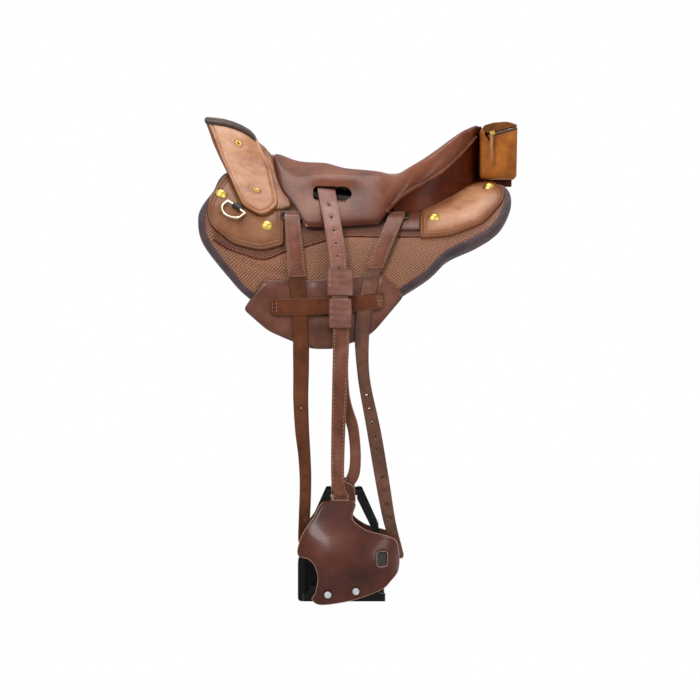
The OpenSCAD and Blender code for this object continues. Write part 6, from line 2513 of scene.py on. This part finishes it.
@dataclass
class Studio:
    """A pale floor and backdrop, soft lamps and the camera at the photograph's viewing angle.

    Attributes:
        floor_z: Height of the floor, in metres as all lengths here.
        wide: Width of the picture at the object.
        aim: The point in the middle of the picture.
        far: Distance of the camera.
        sensor: Width of the camera's sensor in millimetres.
        lamps: Name, place, aim, size and power of each softbox.
    """

    floor_z: float = -0.79
    wide: float = 1.253
    aim: Pair3 = (-0.0525, -0.25, -0.2567)
    far: float = 20.0
    sensor: float = 36.0
    lamps: tuple[tuple[str, Pair3, Pair3, float, float], ...] = (
        ("key_softbox", (-1.4, -2.45, 2.4), (0, -0.2, -0.15), 1.0, 66),
        ("fill_softbox", (2.4, -2.4, 0.9), (0, -0.2, -0.3), 1.2, 30),
        ("top_softbox", (0.0, 0.6, 2.8), (0, 0, 0), 1.6, 54))

    def build(self) -> None:
        """Makes the stage, the light and the camera."""
        scene = bpy.context.scene
        scene.view_settings.view_transform = "Standard"
        bpy.ops.object.select_all(action="DESELECT")
        bpy.ops.mesh.primitive_plane_add(size=60)
        floor = bpy.context.active_object
        floor.name = "studio_floor"
        for v in floor.data.vertices:
            v.co.z = self.floor_z
        dress(floor, self.paper())
        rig.stage(floor)
        self.sky(scene)
        for name, at, to, size, power in self.lamps:
            bpy.ops.object.light_add(type="AREA", location=at)
            lamp = bpy.context.active_object
            lamp.name = name
            lamp.rotation_euler = (Vector(to) - Vector(at)).to_track_quat("-Z", "Y").to_euler()
            lamp.data.size, lamp.data.energy = size, power
        bpy.ops.object.select_all(action="DESELECT")
        x, y, z = self.aim
        bpy.ops.object.camera_add(location=(x, y - self.far, z), rotation=(math.pi / 2, 0, 0))
        camera = bpy.context.active_object
        camera.data.sensor_width = self.sensor
        camera.data.lens = self.sensor * self.far / self.wide
        camera.data.clip_end = 200.0
        scene.camera = camera

    def paper(self) -> Mat:
        """Returns white seamless paper, which the camera and mirrors see as plain white."""
        mat, tree, shader, _ = new_material("white_seamless_paper")
        feed(tree, shader, Base_Color=colour("#f4f4f2"), Roughness=0.9)
        share = add(tree, "Math", {"operation": "MULTIPLY"}, i0=seen_plainly(tree), i1=0.98)
        white = add(tree, "Emission", Color=(1.0, 1.0, 1.0, 1.0), Strength=1.0)
        both = add(tree, "MixShader", i0=share.outputs[0], i1=shader.outputs[0], i2=white.outputs[0])
        feed(tree, tree.nodes["Material Output"], Surface=both.outputs[0])
        return mat

    def sky(self, scene: bpy.types.Scene) -> None:
        """Lights the scene softly from all round, and shows as white behind the object.

        Args:
            scene: The scene that gets the world.
        """
        world = bpy.data.worlds.new("studio")
        scene.world = world
        world.use_nodes = True
        tree = world.node_tree
        tree.nodes.clear()
        soft = add(tree, "Background", Color=colour("#eef0f4"), Strength=0.35)
        plain = add(tree, "Background", Color=(1.0, 1.0, 1.0, 1.0), Strength=1.0)
        both = add(tree, "MixShader", i0=seen_plainly(tree), i1=soft.outputs[0], i2=plain.outputs[0])
        add(tree, "OutputWorld", Surface=both.outputs[0])


def keep_hardware(frame: dict, finish: Finish) -> None:
    """Gives the CAD nodes that stay in view their finishes.

    Args:
        frame: What the frame's loader returned.
        finish: The materials.
    """
    looks = {
        "tree_bars": finish.wood, "ground_seat": finish.wood, "pommel_arch": finish.paint,
        "cantle_arch": finish.paint, "stirrup_rods": finish.steel, "dome_studs": finish.brass,
        "zip_slider": finish.brass}
    pairs = {
        "d_ring": finish.champagne, "leather_buckle": finish.steel, "stirrup": finish.nylon,
        "tread_pad": finish.rubber, "hood_rivets": finish.steel}
    for side in Side:
        looks |= {f"{name}_{side.tag}": look for name, look in pairs.items()}
    for name, look in looks.items():
        for slot in frame["nodes"][name].material_slots:
            slot.material = look
        log.info("%s keeps its CAD shape", name)


def main() -> None:
    """Loads the frame, builds the saddle piece by piece and sets up the studio."""
    logging.basicConfig(level=logging.INFO, format="%(message)s")
    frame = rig.load()
    cad_box = [list(map(float, corner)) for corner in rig.bounds()]
    finish = Finish()
    Studio().build()
    pieces: list[Piece] = []
    for side in Side:
        pieces += FlankLayers(side, finish).build()
        pieces.append(Billet(side, "front", FRONT_BILLET, -362.0, finish.billet).build())
        pieces.append(Billet(side, "rear", REAR_BILLET, -338.0, finish.rear_billet).build())
        pieces += Rigging(side, "front", FRONT_BILLET, -125.0, finish).build()
        pieces += Rigging(side, "rear", REAR_BILLET, -110.0, finish).build()
        for part in (Keeper, StirrupLeather, Hood, RingTab):
            pieces += part(side, finish).build()
    seat = Seat(finish)
    pieces += Pommel(finish).build() + seat.build() + Cantle(finish, seat).build() + CantleBag(finish).build()
    for piece in pieces:
        piece.place()
    keep_hardware(frame, finish)
    box = [list(map(float, corner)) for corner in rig.bounds()]
    with open("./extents.json", "w", encoding="utf-8") as out:
        json.dump({"cad": cad_box, "visual": box}, out)


if __name__ == "__main__":
    main()
